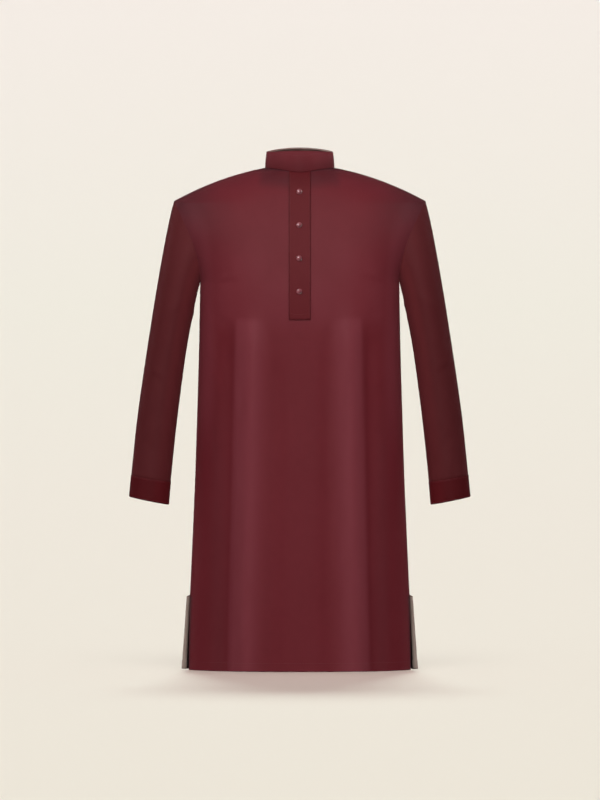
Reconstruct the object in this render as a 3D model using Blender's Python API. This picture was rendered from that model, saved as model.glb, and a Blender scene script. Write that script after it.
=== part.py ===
# A kurta tunic, filled out as if worn. Metres, +Z up, the front faces -Y, the wearer's left is at +X.
# The origin is the middle of the neck, at the height where the shoulder seams meet the collar.
import math

import bmesh
import bpy
import numpy as np

WALL = 0.002  # cloth wall of panels, sleeves and collar
CUFF_WALL = 0.0024
FACING_WALL = 0.0012
PLACKET_WALL = 0.0016
SEAM_GAP = 0.0003  # between pieces that are sewn together
FACING_GAP = 0.0004  # between the vent facing and the panel it lies on
MITRE_LEAST_COSINE = 0.667  # a seam's wall is at most 1.5 times as thick along its mitre
SHARP_ANGLE = math.radians(40)  # edges bent more than this are shaded sharp
NEAR = 1e-9  # a point is on the seams' plane when its y is under this

# Neck and shoulder
NECK_HALF_WIDTH = 0.070
NECK_FRONT_DEPTH = 0.066
NECK_BACK_DEPTH = 0.057
SHOULDER_FALL = 0.18  # slope of the shoulder seam at the neck
SHOULDER_BEND = 1.0  # extra slope for each metre out
SHOULDER_TIP_X = 0.2545
UNDERARM_X = 0.2014
UNDERARM_Z = -0.231
ARMSCYE_DEPTH = 0.069  # half of the armhole, front to back
UNDERARM_LEAN = 0.6  # how far the armhole's inner line leans down where it nears the underarm
UNDERARM_LEAN_POWER = 4  # larger keeps the lean closer to the underarm
NECK_HEIGHTS = (-0.030, 0.008)  # the neckline lies between these heights
NECK_HALVINGS = 40  # steps of the search for a neckline point
HEM_Z = -1.014

# Placket and buttons
PLACKET_HALF_WIDTH = 0.0215
PLACKET_END_Z = -0.3025
PLACKET_TOP = 0.9  # the placket starts this part of the way down the panel's first row
BUTTON_COUNT = 4
BUTTON_TOP_Z = -0.0445
BUTTON_PITCH = 0.0668
BUTTON_RADIUS = 0.0058
BUTTON_HEIGHT = 0.0034
BUTTON_SEAT = 0.0005  # clear of the placket's faceted face
BUTTON_SIDES = 18
BUTTON_PROFILE = (  # parts of the radius and of the height, from the seat up
    (0.78, 0.00),
    (1.00, 0.18),
    (1.00, 0.40),
    (0.86, 0.70),
    (0.52, 0.94),
)

# Side vents
VENT_TOP_Z = -0.866
VENT_STEP = 0.0015  # the seam ends and the vent begins this far to each side of VENT_TOP_Z
VENT_FRONT_OPEN = 0.040  # how far the front's corner swings forward at the hem
VENT_FLARE_TOP = 0.006  # how far the back's edge stands out, at the top and at the hem
VENT_FLARE_HEM = 0.009
VENT_EDGE_Y = 0.0022  # the back's edge stands this far behind the seam's plane
VENT_FACING_TOP = 0.02  # the facing starts this part of the way down its first row

# Collar
COLLAR_TOP_NARROWING = 0.0027
COLLAR_FRONT_HEIGHT = 0.0368
COLLAR_SIDE_HEIGHT = 0.0325
COLLAR_BACK_HEIGHT = 0.0385
COLLAR_BOW = 0.0006  # the band's middle stands out by this much
FACING_FOOT = 0.4  # the facing ends this part of the way down the band's lowest row

# Rows of the panels: the shoulder rows follow the armscye's angle, the others lie at these heights
SHOULDER_ROWS = 12
SHOULDER_ROW_POWER = 1.15
BODY_ROW_HEIGHTS = (
    -0.266, PLACKET_END_Z, -0.355, -0.425, -0.505, -0.595, -0.685, -0.775,
    VENT_TOP_Z + VENT_STEP, VENT_TOP_Z - VENT_STEP, -0.92, -0.97, HEM_Z,
)
# A panel is three solids that meet at these rows with no seam in the cloth: it keeps their hulls hollow
PANEL_CUTS = (7, 18)
NECK_STEPS = 5  # columns from the placket's edge to the neck point
SHOULDER_STEPS = 10  # columns from the neck point to the armscye

# Half width of the body below the arms: height, half width
BODY_SIDE = (
    (UNDERARM_Z, UNDERARM_X),
    (-0.358, 0.2037),
    (-0.510, 0.2080),
    (-0.632, 0.2120),
    (-0.753, 0.2171),
    (-0.866, 0.2223),
    (HEM_Z, 0.2296),
)
# Section of the body: height, half depth in front, half depth behind, superellipse power
BODY_SECTION = (
    (0.020, 0.040, 0.040, 2.2),
    (0.000, 0.060, 0.060, 2.2),
    (-0.006, 0.066, 0.066, 2.2),
    (-0.030, 0.080, 0.084, 2.3),
    (-0.075, 0.096, 0.102, 2.5),
    (-0.145, 0.114, 0.114, 2.8),
    (-0.230, 0.125, 0.117, 3.0),
    (-0.350, 0.126, 0.114, 2.8),
    (-0.500, 0.129, 0.120, 2.5),
    (-0.700, 0.138, 0.132, 2.35),
    (-0.870, 0.147, 0.143, 2.3),
    (HEM_Z, 0.154, 0.150, 2.25),
)
# Sleeve seen from the front, outer line and inner line: height, distance from the middle
SLEEVE_OUTER = (
    (-0.0672, SHOULDER_TIP_X),
    (-0.091, 0.2606),
    (-0.130, 0.2690),
    (-0.176, 0.2777),
    (-0.241, 0.2890),
    (-0.328, 0.3030),
    (-0.419, 0.3168),
    (-0.510, 0.3294),
    (-0.601, 0.3390),
    (-0.664, 0.3452),
)
SLEEVE_INNER = (
    (UNDERARM_Z, UNDERARM_X),
    (-0.257, 0.2080),
    (-0.298, 0.2162),
    (-0.358, 0.2275),
    (-0.449, 0.2404),
    (-0.540, 0.2515),
    (-0.636, 0.2612),
    (-0.680, 0.2650),
)
# Half depth of the sleeve and how far its middle swings forward: part of its length, depth, forward
SLEEVE_DEPTH = (
    (0.00, ARMSCYE_DEPTH, 0.000),
    (0.15, 0.0680, 0.000),
    (0.35, 0.0635, 0.001),
    (0.60, 0.0550, 0.005),
    (0.85, 0.0475, 0.012),
    (1.00, 0.0440, 0.016),
    (1.08, 0.0435, 0.018),
)
SLEEVE_ROWS = 15
SLEEVE_HEAD = 0.3  # the part of the sleeve over which the armhole's curve fades into plain rings
SLEEVE_INNER_POWER = 1.4  # packs the rings together under the arm
SLEEVE_END_OUTER_Z = -0.6214
SLEEVE_END_INNER_Z = -0.6355
CUFF_END_OUTER_Z = -0.6639
CUFF_END_INNER_Z = -0.6800
CUFF_ROWS = 2
CUFF_PART = 0.08  # the cuff's length, as a part of the sleeve's

# Soft vertical folds of the skirt: x at the waist, x at the hem, half width, height out, first height
FRONT_FOLDS = (
    (-0.0955, -0.1090, 0.021, 0.0075, -0.270),
    (0.1015, 0.1140, 0.022, 0.0068, -0.255),
    (-0.1400, -0.1560, 0.014, -0.0065, -0.300),
    (0.1400, 0.1550, 0.014, -0.0058, -0.285),
    (-0.0480, -0.0560, 0.019, -0.0028, -0.340),
    (0.0550, 0.0600, 0.018, -0.0024, -0.320),
)
BACK_FOLDS = (
    (-0.1050, -0.1200, 0.022, 0.0070, -0.240),
    (0.0920, 0.1060, 0.020, 0.0078, -0.300),
    (-0.1480, -0.1620, 0.014, -0.0055, -0.290),
    (0.1380, 0.1520, 0.015, -0.0062, -0.330),
    (-0.0420, -0.0480, 0.024, -0.0036, -0.380),
    (0.0180, 0.0220, 0.020, 0.0030, -0.420),
)
FOLD_GROWTH_LENGTH = 0.10  # a fold reaches its full height this far below its start
FOLD_LATE_GROWTH = 0.03  # and from there on it grows by this much for each further length

# Finishes: colour, roughness
CLOTH = ((0.128, 0.018, 0.024), 0.55)
TRIM = ((0.100, 0.012, 0.017), 0.50)
FACING = ((0.235, 0.175, 0.145), 0.70)
BUTTON = ((0.260, 0.070, 0.080), 0.30)


def smooth(table, place, column=1):
    """Value of a column at a place in the first column, on a smooth curve through the rows."""
    rows = sorted(table)
    spots = [row[0] for row in rows]
    values = [row[column] for row in rows]
    place = min(max(place, spots[0]), spots[-1])
    steps = np.diff(spots)
    slopes = np.diff(values) / steps
    ends = [slopes[0], *slopes, slopes[-1]]
    tangents = [(ends[i] + ends[i + 1]) / 2 for i in range(len(spots))]
    i = min(int(np.searchsorted(spots, place, side="right")) - 1, len(steps) - 1)
    t = (place - spots[i]) / steps[i]
    return float(
        (2 * t**3 - 3 * t**2 + 1) * values[i]
        + (t**3 - 2 * t**2 + t) * steps[i] * tangents[i]
        + (3 * t**2 - 2 * t**3) * values[i + 1]
        + (t**3 - t**2) * steps[i] * tangents[i + 1]
    )


def unit(vectors):
    vectors = np.asarray(vectors, float)
    return vectors / np.linalg.norm(vectors, axis=-1, keepdims=True)


# The body's surface

def shoulder_height(x):
    out = x - NECK_HALF_WIDTH
    return -(SHOULDER_FALL * out + SHOULDER_BEND * out**2)


SHOULDER_TIP_Z = shoulder_height(SHOULDER_TIP_X)


def armscye_point(angle):
    """Distance out, height and half depth of the armhole, from the shoulder tip (0) to the underarm (pi).

    The line swings in early and meets the side seam upright, as an armhole is cut.
    """
    part = (1 - math.cos(angle)) / 2
    out = SHOULDER_TIP_X + (UNDERARM_X - SHOULDER_TIP_X) * math.sin(math.pi / 2 * part)
    height = SHOULDER_TIP_Z + (UNDERARM_Z - SHOULDER_TIP_Z) * part
    return out, height, ARMSCYE_DEPTH * math.sin(angle)


def depth_at(z, side):
    return smooth(BODY_SECTION, z, 1 if side < 0 else 2)


def power_at(z):
    return smooth(BODY_SECTION, z, 3)


def section_rest(part, power):
    """How much of one half size is left where the other is used up to this part."""
    return (1 - min(abs(part), 1.0) ** power) ** (1 / power)


def width_at(z, side):
    """Half width of the section at a height. Between shoulder and underarm it runs on past the armhole."""
    if z >= SHOULDER_TIP_Z:
        if z >= 0:
            return NECK_HALF_WIDTH - z / SHOULDER_FALL
        root = math.sqrt(SHOULDER_FALL**2 - 4 * SHOULDER_BEND * z)
        return NECK_HALF_WIDTH + (root - SHOULDER_FALL) / (2 * SHOULDER_BEND)
    if z <= UNDERARM_Z:
        return smooth(BODY_SIDE, z)
    part = (z - SHOULDER_TIP_Z) / (UNDERARM_Z - SHOULDER_TIP_Z)
    out, _, deep = armscye_point(math.acos(1 - 2 * part))
    return out / section_rest(deep / depth_at(z, side), power_at(z))


def section_y(x, z, side):
    """Depth of the surface at x and z, with its sign: -1 for the front, +1 for the back."""
    return side * depth_at(z, side) * section_rest(x / width_at(z, side), power_at(z))


def neck_point(angle, side):
    """A point of the neckline, from the middle (0) to the neck point (pi/2), found on the surface."""
    deep = NECK_FRONT_DEPTH if side < 0 else NECK_BACK_DEPTH
    x = NECK_HALF_WIDTH * math.sin(angle)
    y = deep * math.cos(angle)
    low, high = NECK_HEIGHTS
    for _ in range(NECK_HALVINGS):
        z = (low + high) / 2
        width = max(width_at(z, side), x, 1e-6)
        if y < depth_at(z, side) * section_rest(x / width, power_at(z)):
            low = z
        else:
            high = z
    return x, side * y, z


def fold_height(x, z, folds):
    """How far the folds lift the cloth out of the plain section."""
    total = 0.0
    for waist_x, hem_x, half_width, height, start in folds:
        down = (start - z) / FOLD_GROWTH_LENGTH
        if down <= 0:
            continue
        along = (start - z) / (start - HEM_Z)
        middle = waist_x + (hem_x - waist_x) * along
        growth = min(down, 1.0)
        growth = growth * growth * (3 - 2 * growth) + FOLD_LATE_GROWTH * max(down - 1.0, 0.0)
        total += height * growth * math.exp(-(((x - middle) / half_width) ** 2))
    return total


def top_columns(side):
    """Points of a half panel's top edge: the neckline from the middle out, then the shoulder seam."""
    placket_angle = math.asin(PLACKET_HALF_WIDTH / NECK_HALF_WIDTH)
    angles = [0.0]
    angles += [placket_angle + (math.pi / 2 - placket_angle) * i / NECK_STEPS for i in range(NECK_STEPS)]
    points = [neck_point(angle, side) for angle in angles]
    points.append((NECK_HALF_WIDTH, 0.0, 0.0))
    for i in range(1, SHOULDER_STEPS + 1):
        part = math.sin(math.pi / 2 * i / SHOULDER_STEPS)
        x = NECK_HALF_WIDTH + (SHOULDER_TIP_X - NECK_HALF_WIDTH) * part
        points.append((x, 0.0, shoulder_height(x)))
    return points


def column_x(top_x, edge_x):
    """The columns inside the placket keep their x, the others spread with the panel's width."""
    if top_x <= PLACKET_HALF_WIDTH:
        return top_x
    spread = (edge_x - PLACKET_HALF_WIDTH) / (SHOULDER_TIP_X - PLACKET_HALF_WIDTH)
    return PLACKET_HALF_WIDTH + (top_x - PLACKET_HALF_WIDTH) * spread


def row_angle(row):
    return math.pi * (row / SHOULDER_ROWS) ** SHOULDER_ROW_POWER


def edge_at(z, side):
    """The panel's side edge below the arm, x and y. At the vent the front swings open, the back flares."""
    width = width_at(z, side)
    down = (VENT_TOP_Z - z) / (VENT_TOP_Z - HEM_Z)
    if down <= 0:
        return width, 0.0
    if side < 0:
        forward = VENT_FRONT_OPEN * down
        return width * section_rest(forward / depth_at(z, side), power_at(z)), -forward
    flare = VENT_FLARE_TOP + (VENT_FLARE_HEM - VENT_FLARE_TOP) * down
    return width + flare, VENT_EDGE_Y


def half_panel(side):
    """Outer points of a half panel at +x: rows from the top down, columns from the middle out."""
    tops = top_columns(side)
    folds = FRONT_FOLDS if side < 0 else BACK_FOLDS
    rows = []
    for row in range(SHOULDER_ROWS + 1):
        part = (1 - math.cos(row_angle(row))) / 2
        edge_x, _, edge_y = armscye_point(row_angle(row))
        points = []
        for top_x, top_y, top_z in tops:
            z = top_z + (UNDERARM_Z - top_z) * part
            x = column_x(top_x, edge_x)
            y = top_y if row == 0 else section_y(x, z, side)
            points.append((x, y, z))
        points[-1] = (edge_x, side * edge_y, points[-1][2])
        rows.append(points)
    for z in BODY_ROW_HEIGHTS:
        edge_x, edge_y = edge_at(z, side)
        plain_x = width_at(z, side) if side > 0 else edge_x
        points = []
        for top_x, _, _ in tops[:-1]:
            x = column_x(top_x, plain_x)
            points.append((x, section_y(x, z, side), z))
        points.append((edge_x, edge_y, z))
        rows.append(points)
    return np.array(rows), folds


def grid_normals(points, turn):
    """Vertex normals of a grid of rows and columns; turn is +1 or -1 and picks the outer side."""
    total = np.zeros_like(points)
    a, b, c, d = points[:-1, :-1], points[:-1, 1:], points[1:, 1:], points[1:, :-1]
    faces = turn * np.cross(c - a, d - b)
    total[:-1, :-1] += faces
    total[:-1, 1:] += faces
    total[1:, 1:] += faces
    total[1:, :-1] += faces
    return unit(total)


def tube_normals(points, turn):
    """Vertex normals of a tube whose columns close on themselves."""
    wrapped = np.concatenate([points[:, -1:], points, points[:, :1]], axis=1)
    return grid_normals(wrapped, turn)[:, 1:-1]


def whole_panel(side):
    """Outer points and normals of a whole panel, columns from -x to +x."""
    half, folds = half_panel(side)
    mirrored = half[:, :0:-1] * (-1, 1, 1)
    points = np.concatenate([mirrored, half], axis=1)
    normals = grid_normals(points, side)
    lifted = points.copy()
    for r, c in np.ndindex(points.shape[:2]):
        if 0 < c < points.shape[1] - 1:
            x, _, z = points[r, c]
            lifted[r, c] += normals[r, c] * fold_height(x, z, folds)
    normals = grid_normals(lifted, side)
    # on the shoulder and side seams the two panels share a normal, which lies in the seam's plane
    seams = np.abs(lifted[..., 1]) < NEAR
    normals[seams] = unit(normals[seams] * (1, 0, 1))
    return lifted, normals


# The sleeve's surface

def sleeve_frame(part, outer_z, inner_z):
    """Middle, half width and depth vectors of a sleeve ring."""
    outer = np.array((smooth(SLEEVE_OUTER, outer_z), 0.0, outer_z))
    inner = np.array((smooth(SLEEVE_INNER, inner_z), 0.0, inner_z))
    depth = smooth(SLEEVE_DEPTH, part, 1)
    forward = np.array((0.0, -smooth(SLEEVE_DEPTH, part, 2), 0.0))
    return (outer + inner) / 2 + forward, (outer - inner) / 2, np.array((0.0, depth, 0.0))


def ring_angles():
    """Angles round the sleeve: from the shoulder tip over the front to the underarm, and back up."""
    front = [row_angle(row) for row in range(SHOULDER_ROWS + 1)]
    return front + [2 * math.pi - angle for angle in front[-2:0:-1]]


def ring(frame):
    middle, across, deep = frame
    return [middle + across * math.cos(a) - deep * math.sin(a) for a in ring_angles()]


def armscye_swing(angle):
    """How far the armhole lies inside a straight line from the shoulder tip to the underarm."""
    part = (1 - math.cos(angle)) / 2
    return armscye_point(angle)[0] - (SHOULDER_TIP_X + (UNDERARM_X - SHOULDER_TIP_X) * part)


def sleeve_points():
    """Outer points of the wearer's left sleeve, rings from the armhole down to the cuff seam."""
    swing = np.array([(armscye_swing(angle), 0.0, 0.0) for angle in ring_angles()])
    rings = []
    for row in range(SLEEVE_ROWS + 1):
        part = row / SLEEVE_ROWS
        outer_z = SHOULDER_TIP_Z + (SLEEVE_END_OUTER_Z - SHOULDER_TIP_Z) * part
        inner_z = UNDERARM_Z + (SLEEVE_END_INNER_Z - UNDERARM_Z) * part**SLEEVE_INNER_POWER
        fade = max(0.0, 1 - part / SLEEVE_HEAD) ** 2
        rings.append(ring(sleeve_frame(part, outer_z, inner_z)) + swing * fade)
    return np.array(rings)


def cuff_points():
    rings = []
    for row in range(CUFF_ROWS + 1):
        part = row / CUFF_ROWS
        outer_z = SLEEVE_END_OUTER_Z + (CUFF_END_OUTER_Z - SLEEVE_END_OUTER_Z) * part
        inner_z = SLEEVE_END_INNER_Z + (CUFF_END_INNER_Z - SLEEVE_END_INNER_Z) * part
        rings.append(ring(sleeve_frame(1 + CUFF_PART * part, outer_z, inner_z)))
    return np.array(rings)


# Seams

UP = np.array((0.0, 0.0, 1.0))
TOWARD_BODY = np.array((-1.0, 0.0, -0.5))  # across the wearer's left armhole
TOWARD_SLEEVE = np.array((1.0, 0.0, -0.5))


def mitre(outer, normals_a, normals_b, lean, wall):
    """Inner points of a seam where two walls meet at an angle, and the direction through the wall."""
    through = unit(normals_a + normals_b + lean)
    cosine = np.maximum(np.sum(through * normals_a, -1), np.sum(through * normals_b, -1))
    return outer - through * (wall / np.maximum(cosine, MITRE_LEAST_COSINE))[:, None], through


def apart(line, through, toward, closed):
    """Half a seam gap for each point of a seam line, square to the seam's face, on one piece's side."""
    if closed:
        along = np.roll(line, -1, axis=0) - np.roll(line, 1, axis=0)
    else:
        along = np.gradient(line, axis=0)
    move = unit(np.cross(along, through))
    sign = np.sign(np.sum(move * toward, -1))[:, None]
    return move * sign * (SEAM_GAP / 2)


# Blender objects

def material(name, finish):
    colour, roughness = finish
    made = bpy.data.materials.new(name)
    made.use_nodes = True
    shader = made.node_tree.nodes["Principled BSDF"]
    shader.inputs["Base Color"].default_value = (*colour, 1.0)
    shader.inputs["Roughness"].default_value = roughness
    shader.inputs["Metallic"].default_value = 0.0
    return made


def solid(name, finish, work):
    """An object whose mesh the work function fills, with its faces turned out and shaded smooth."""
    mesh = bpy.data.meshes.new(name)
    shape = bmesh.new()
    work(shape)
    bmesh.ops.recalc_face_normals(shape, faces=shape.faces)
    shape.to_mesh(mesh)
    shape.free()
    mesh.shade_smooth()
    mesh.set_sharp_from_angle(angle=SHARP_ANGLE)
    mesh.materials.append(material(name, finish))
    made = bpy.data.objects.new(name, mesh)
    bpy.context.scene.collection.objects.link(made)
    return made


def wall_between(outer, inner, closed):
    """A bmesh filler: the closed wall between two grids of rows and columns of the same size."""

    def work(shape):
        sheets = []
        for grid in (outer, inner):
            sheets.append([[shape.verts.new(point) for point in row] for row in grid])
        rows, columns = outer.shape[:2]
        last = columns if closed else columns - 1
        for sheet in sheets:
            for r in range(rows - 1):
                for c in range(last):
                    n = (c + 1) % columns
                    shape.faces.new((sheet[r][c], sheet[r][n], sheet[r + 1][n]))
                    shape.faces.new((sheet[r][c], sheet[r + 1][n], sheet[r + 1][c]))
        front, back = sheets
        rims = []
        for r in (0, rows - 1):
            rims += [((r, c), (r, (c + 1) % columns)) for c in range(last)]
        if not closed:
            for c in (0, columns - 1):
                rims += [((r, c), (r + 1, c)) for r in range(rows - 1)]
        for (r, c), (s, d) in rims:
            shape.faces.new((front[r][c], front[s][d], back[s][d]))
            shape.faces.new((front[r][c], back[s][d], back[r][c]))

    return work


# Pieces

def neck_columns(points):
    """The columns of a whole panel that lie on the neckline, the two neck points with them."""
    middle = points.shape[1] // 2
    return slice(middle - NECK_STEPS - 1, middle + NECK_STEPS + 2)


def collar_outline():
    """The neckline as a closed ring, and the radial direction at each of its points."""
    front, _ = whole_panel(-1)
    back, _ = whole_panel(1)
    line = np.concatenate([front[0, neck_columns(front)], back[0, neck_columns(back)][-2:0:-1]])
    radial = unit(line * (1 / NECK_HALF_WIDTH**2, 1 / NECK_FRONT_DEPTH**2, 0))
    return line, radial


def collar_top(line):
    """The rim above each point of the neckline, a little narrower than the neckline."""
    top = line.copy()
    for i, (x, y, _) in enumerate(line):
        across = min(abs(x) / NECK_HALF_WIDTH, 1.0)
        middle = COLLAR_FRONT_HEIGHT if y < 0 else COLLAR_BACK_HEIGHT
        top[i, 2] = middle + (COLLAR_SIDE_HEIGHT - middle) * across**2
    shrink = 1 - COLLAR_TOP_NARROWING / NECK_HALF_WIDTH
    return top * (shrink, shrink, 1)


def neck_seam():
    """Outer and inner line of the neck seam, and the direction through it, as a closed ring."""
    line, radial = collar_outline()
    normals = []
    for side in (-1, 1):
        points, panel_normals = whole_panel(side)
        picked = panel_normals[0, neck_columns(points)]
        normals.append(picked if side < 0 else picked[-2:0:-1])
    inner, through = mitre(line, np.concatenate(normals), radial, np.zeros(3), WALL)
    return line, inner, through


def make_collar():
    line, inner_line, through = neck_seam()
    _, radial = collar_outline()
    top = collar_top(line)
    up = apart(line, through, UP, closed=True)
    outer = [line + up]
    inner = [inner_line + up]
    for part in (1 / 3, 2 / 3, 1.0):
        bow = COLLAR_BOW * math.sin(math.pi * part)
        row = line + (top - line) * part + radial * bow
        outer.append(row)
        inner.append(row - radial * WALL)
    solid("collar_band", CLOTH, wall_between(np.array(outer), np.array(inner), True))
    # the facing lies inside the band, on the band's own points
    against = np.array(inner) - radial * SEAM_GAP
    foot = against[1] + (against[0] - against[1]) * FACING_FOOT
    against = np.array([foot, *against[1:]])
    solid("collar_facing", FACING, wall_between(against, against - radial * FACING_WALL, True))


def armscye_seam(side):
    """Rows of the panel's side edge that meet the sleeve: outer, inner and through, wearer's left."""
    points, normals = whole_panel(side)
    sleeve = sleeve_points()
    sleeve_normals = tube_normals(sleeve, 1)
    count = SHOULDER_ROWS + 1
    order = list(range(count)) if side < 0 else [0, *range(len(ring_angles()) - 1, SHOULDER_ROWS - 1, -1)]
    outer = points[:count, -1]
    low = np.array([max(0.0, -math.cos(row_angle(row))) ** UNDERARM_LEAN_POWER for row in range(count)])
    lean = low[:, None] * np.array((0.0, 0.0, -UNDERARM_LEAN))
    inner, through = mitre(outer, normals[:count, -1], sleeve_normals[0, order], lean, WALL)
    return outer, inner, through, order


def cut_apart(grid):
    """The grid in bands of rows, each half a seam gap back from the cuts."""
    bands = []
    for first, last in zip((0, *PANEL_CUTS), (*PANEL_CUTS, len(grid) - 1)):
        band = grid[first:last + 1].copy()
        if first > 0:
            band[0] += unit(band[1] - band[0]) * (SEAM_GAP / 2)
        if last < len(grid) - 1:
            band[-1] += unit(band[-2] - band[-1]) * (SEAM_GAP / 2)
        bands.append(band)
    return bands


def front_opening(grid):
    """The chest's grid in two, cut down its middle column: the opening that the placket covers."""
    middle = grid.shape[1] // 2
    left, right = grid[:, middle:].copy(), grid[:, :middle + 1].copy()
    left[:, 0, 0] = SEAM_GAP / 2
    right[:, -1, 0] = -SEAM_GAP / 2
    return left, right


def make_panel(names, side):
    points, normals = whole_panel(side)
    outer = points.copy()
    inner = points - normals * WALL
    # neckline
    neck = neck_columns(points)
    line, inner_line, through = neck_seam()
    down = apart(line, through, -UP, closed=True)
    count = 2 * (NECK_STEPS + 1) + 1
    if side < 0:
        picked = np.arange(count)
    else:
        picked = np.array([0, *range(len(line) - 1, count - 2, -1)])
    inner[0, neck] = inner_line[picked]
    outer[0, neck] += down[picked]
    inner[0, neck] += down[picked]
    # armholes
    seam_outer, seam_inner, seam_through, _ = armscye_seam(side)
    away = apart(seam_outer, seam_through, TOWARD_BODY, closed=False)
    rows = len(seam_outer)
    for column, flip in ((-1, 1), (0, -1)):
        turn = np.array((flip, 1, 1))
        outer[:rows, column] = (seam_outer + away) * turn
        inner[:rows, column] = (seam_inner + away) * turn
    # shoulder and side seams
    for grid in (outer, inner):
        near = np.abs(points[..., 1]) < NEAR
        grid[near, 1] = side * SEAM_GAP / 2
    bands = list(zip(cut_apart(outer), cut_apart(inner)))
    if side < 0:
        bands = list(zip(*(front_opening(grid) for grid in bands[0]))) + bands[1:]
    for name, (outer_band, inner_band) in zip(names, bands):
        solid(name, CLOTH, wall_between(outer_band, inner_band, False))


def make_sleeve(name, flip):
    sleeve = sleeve_points()
    normals = tube_normals(sleeve, 1)
    outer = sleeve.copy()
    inner = sleeve - normals * WALL
    for side in (-1, 1):
        seam_outer, seam_inner, through, order = armscye_seam(side)
        away = apart(seam_outer, through, TOWARD_SLEEVE, closed=False)
        outer[0, order] = seam_outer + away
        inner[0, order] = seam_inner + away
    turn = np.array((flip, 1, 1))
    solid(name, CLOTH, wall_between(outer * turn, inner * turn, True))


def make_cuff(name, flip):
    cuff = cuff_points()
    normals = tube_normals(cuff, 1)
    along = unit(cuff[-1].mean(axis=0) - cuff[0].mean(axis=0))
    outer = cuff.copy()
    outer[0] += along * SEAM_GAP
    inner = outer - normals * CUFF_WALL
    turn = np.array((flip, 1, 1))
    solid(name, TRIM, wall_between(outer * turn, inner * turn, True))


def placket_grid():
    """The panel's points under the placket, and their normals."""
    points, normals = whole_panel(-1)
    middle = points.shape[1] // 2
    rows = SHOULDER_ROWS + 2 + BODY_ROW_HEIGHTS.index(PLACKET_END_Z)
    picked = (slice(0, rows), slice(middle - 1, middle + 2))
    return points[picked], normals[picked]


def make_placket():
    points, normals = placket_grid()
    inner = points + normals * SEAM_GAP
    outer = inner + normals * PLACKET_WALL
    # its top edge ends just under the collar
    for grid in (inner, outer):
        grid[0] = grid[0] + (grid[1] - grid[0]) * PLACKET_TOP
    solid("placket", TRIM, wall_between(outer, inner, False))


def make_button(name, z):
    """A domed button, turned about its own axis and seated on the placket."""
    points, normals = placket_grid()
    middle = points[:, 1]
    heights = middle[::-1, 2]
    seat = np.array([np.interp(z, heights, middle[::-1, axis]) for axis in range(3)])
    tops = normals[::-1, 1]
    normal = unit([np.interp(z, heights, tops[:, axis]) for axis in range(3)])
    start = seat + normal * (SEAM_GAP + PLACKET_WALL + BUTTON_SEAT)
    side = np.array((1.0, 0.0, 0.0))
    up = np.cross(normal, side)

    def work(shape):
        rings = []
        for radius, height in BUTTON_PROFILE:
            turned = []
            for i in range(BUTTON_SIDES):
                angle = 2 * math.pi * i / BUTTON_SIDES
                spoke = side * math.cos(angle) + up * math.sin(angle)
                turned.append(shape.verts.new(start + spoke * radius * BUTTON_RADIUS
                                              + normal * height * BUTTON_HEIGHT))
            rings.append(turned)
        for low, high in zip(rings, rings[1:]):
            for i in range(BUTTON_SIDES):
                n = (i + 1) % BUTTON_SIDES
                shape.faces.new((low[i], low[n], high[n], high[i]))
        shape.faces.new(rings[0])
        tip = shape.verts.new(start + normal * BUTTON_HEIGHT)
        for i in range(BUTTON_SIDES):
            shape.faces.new((rings[-1][i], rings[-1][(i + 1) % BUTTON_SIDES], tip))

    solid(name, BUTTON, work)


def make_vent_facing(name, columns):
    """The strip on the inner face of the back's vent edge, on the panel's own points."""
    first = SHOULDER_ROWS + 1 + BODY_ROW_HEIGHTS.index(VENT_TOP_Z - VENT_STEP)
    points, normals = (grid[first:, columns] for grid in whole_panel(1))
    against = points - normals * (WALL + FACING_GAP)
    inside = against - normals * FACING_WALL
    for grid in (against, inside):
        grid[0] += (grid[1] - grid[0]) * VENT_FACING_TOP
    solid(name, FACING, wall_between(inside, against, False))


def main():
    for old in list(bpy.data.objects):
        bpy.data.objects.remove(old)
    make_panel(("front_chest_left", "front_chest_right", "front_waist", "front_skirt"), -1)
    make_panel(("back_shoulders", "back_waist", "back_skirt"), 1)
    for name, flip, edge_columns in (("left", 1, slice(-2, None)), ("right", -1, slice(0, 2))):
        make_sleeve(f"sleeve_{name}", flip)
        make_cuff(f"cuff_{name}", flip)
        make_vent_facing(f"vent_facing_{name}", edge_columns)
    make_collar()
    make_placket()
    for i in range(BUTTON_COUNT):
        make_button(f"button_{i + 1}", BUTTON_TOP_Z - i * BUTTON_PITCH)


main()
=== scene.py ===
import math

import bmesh
import bpy
import numpy as np
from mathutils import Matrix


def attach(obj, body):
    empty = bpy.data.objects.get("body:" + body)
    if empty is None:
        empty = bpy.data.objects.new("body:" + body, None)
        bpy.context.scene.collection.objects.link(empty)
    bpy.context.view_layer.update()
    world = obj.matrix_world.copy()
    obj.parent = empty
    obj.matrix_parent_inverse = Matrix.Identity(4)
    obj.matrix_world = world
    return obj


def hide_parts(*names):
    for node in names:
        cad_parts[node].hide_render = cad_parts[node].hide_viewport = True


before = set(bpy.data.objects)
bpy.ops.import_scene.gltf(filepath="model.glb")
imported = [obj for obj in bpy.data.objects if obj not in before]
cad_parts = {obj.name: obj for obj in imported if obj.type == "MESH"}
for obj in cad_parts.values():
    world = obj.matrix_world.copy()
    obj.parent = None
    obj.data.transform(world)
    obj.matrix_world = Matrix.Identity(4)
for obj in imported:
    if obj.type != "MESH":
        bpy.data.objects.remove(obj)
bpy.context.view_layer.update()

# Metres, as in the frame: the front faces -Y, the wearer's left is +X, the middle of the neck is the origin.

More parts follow.
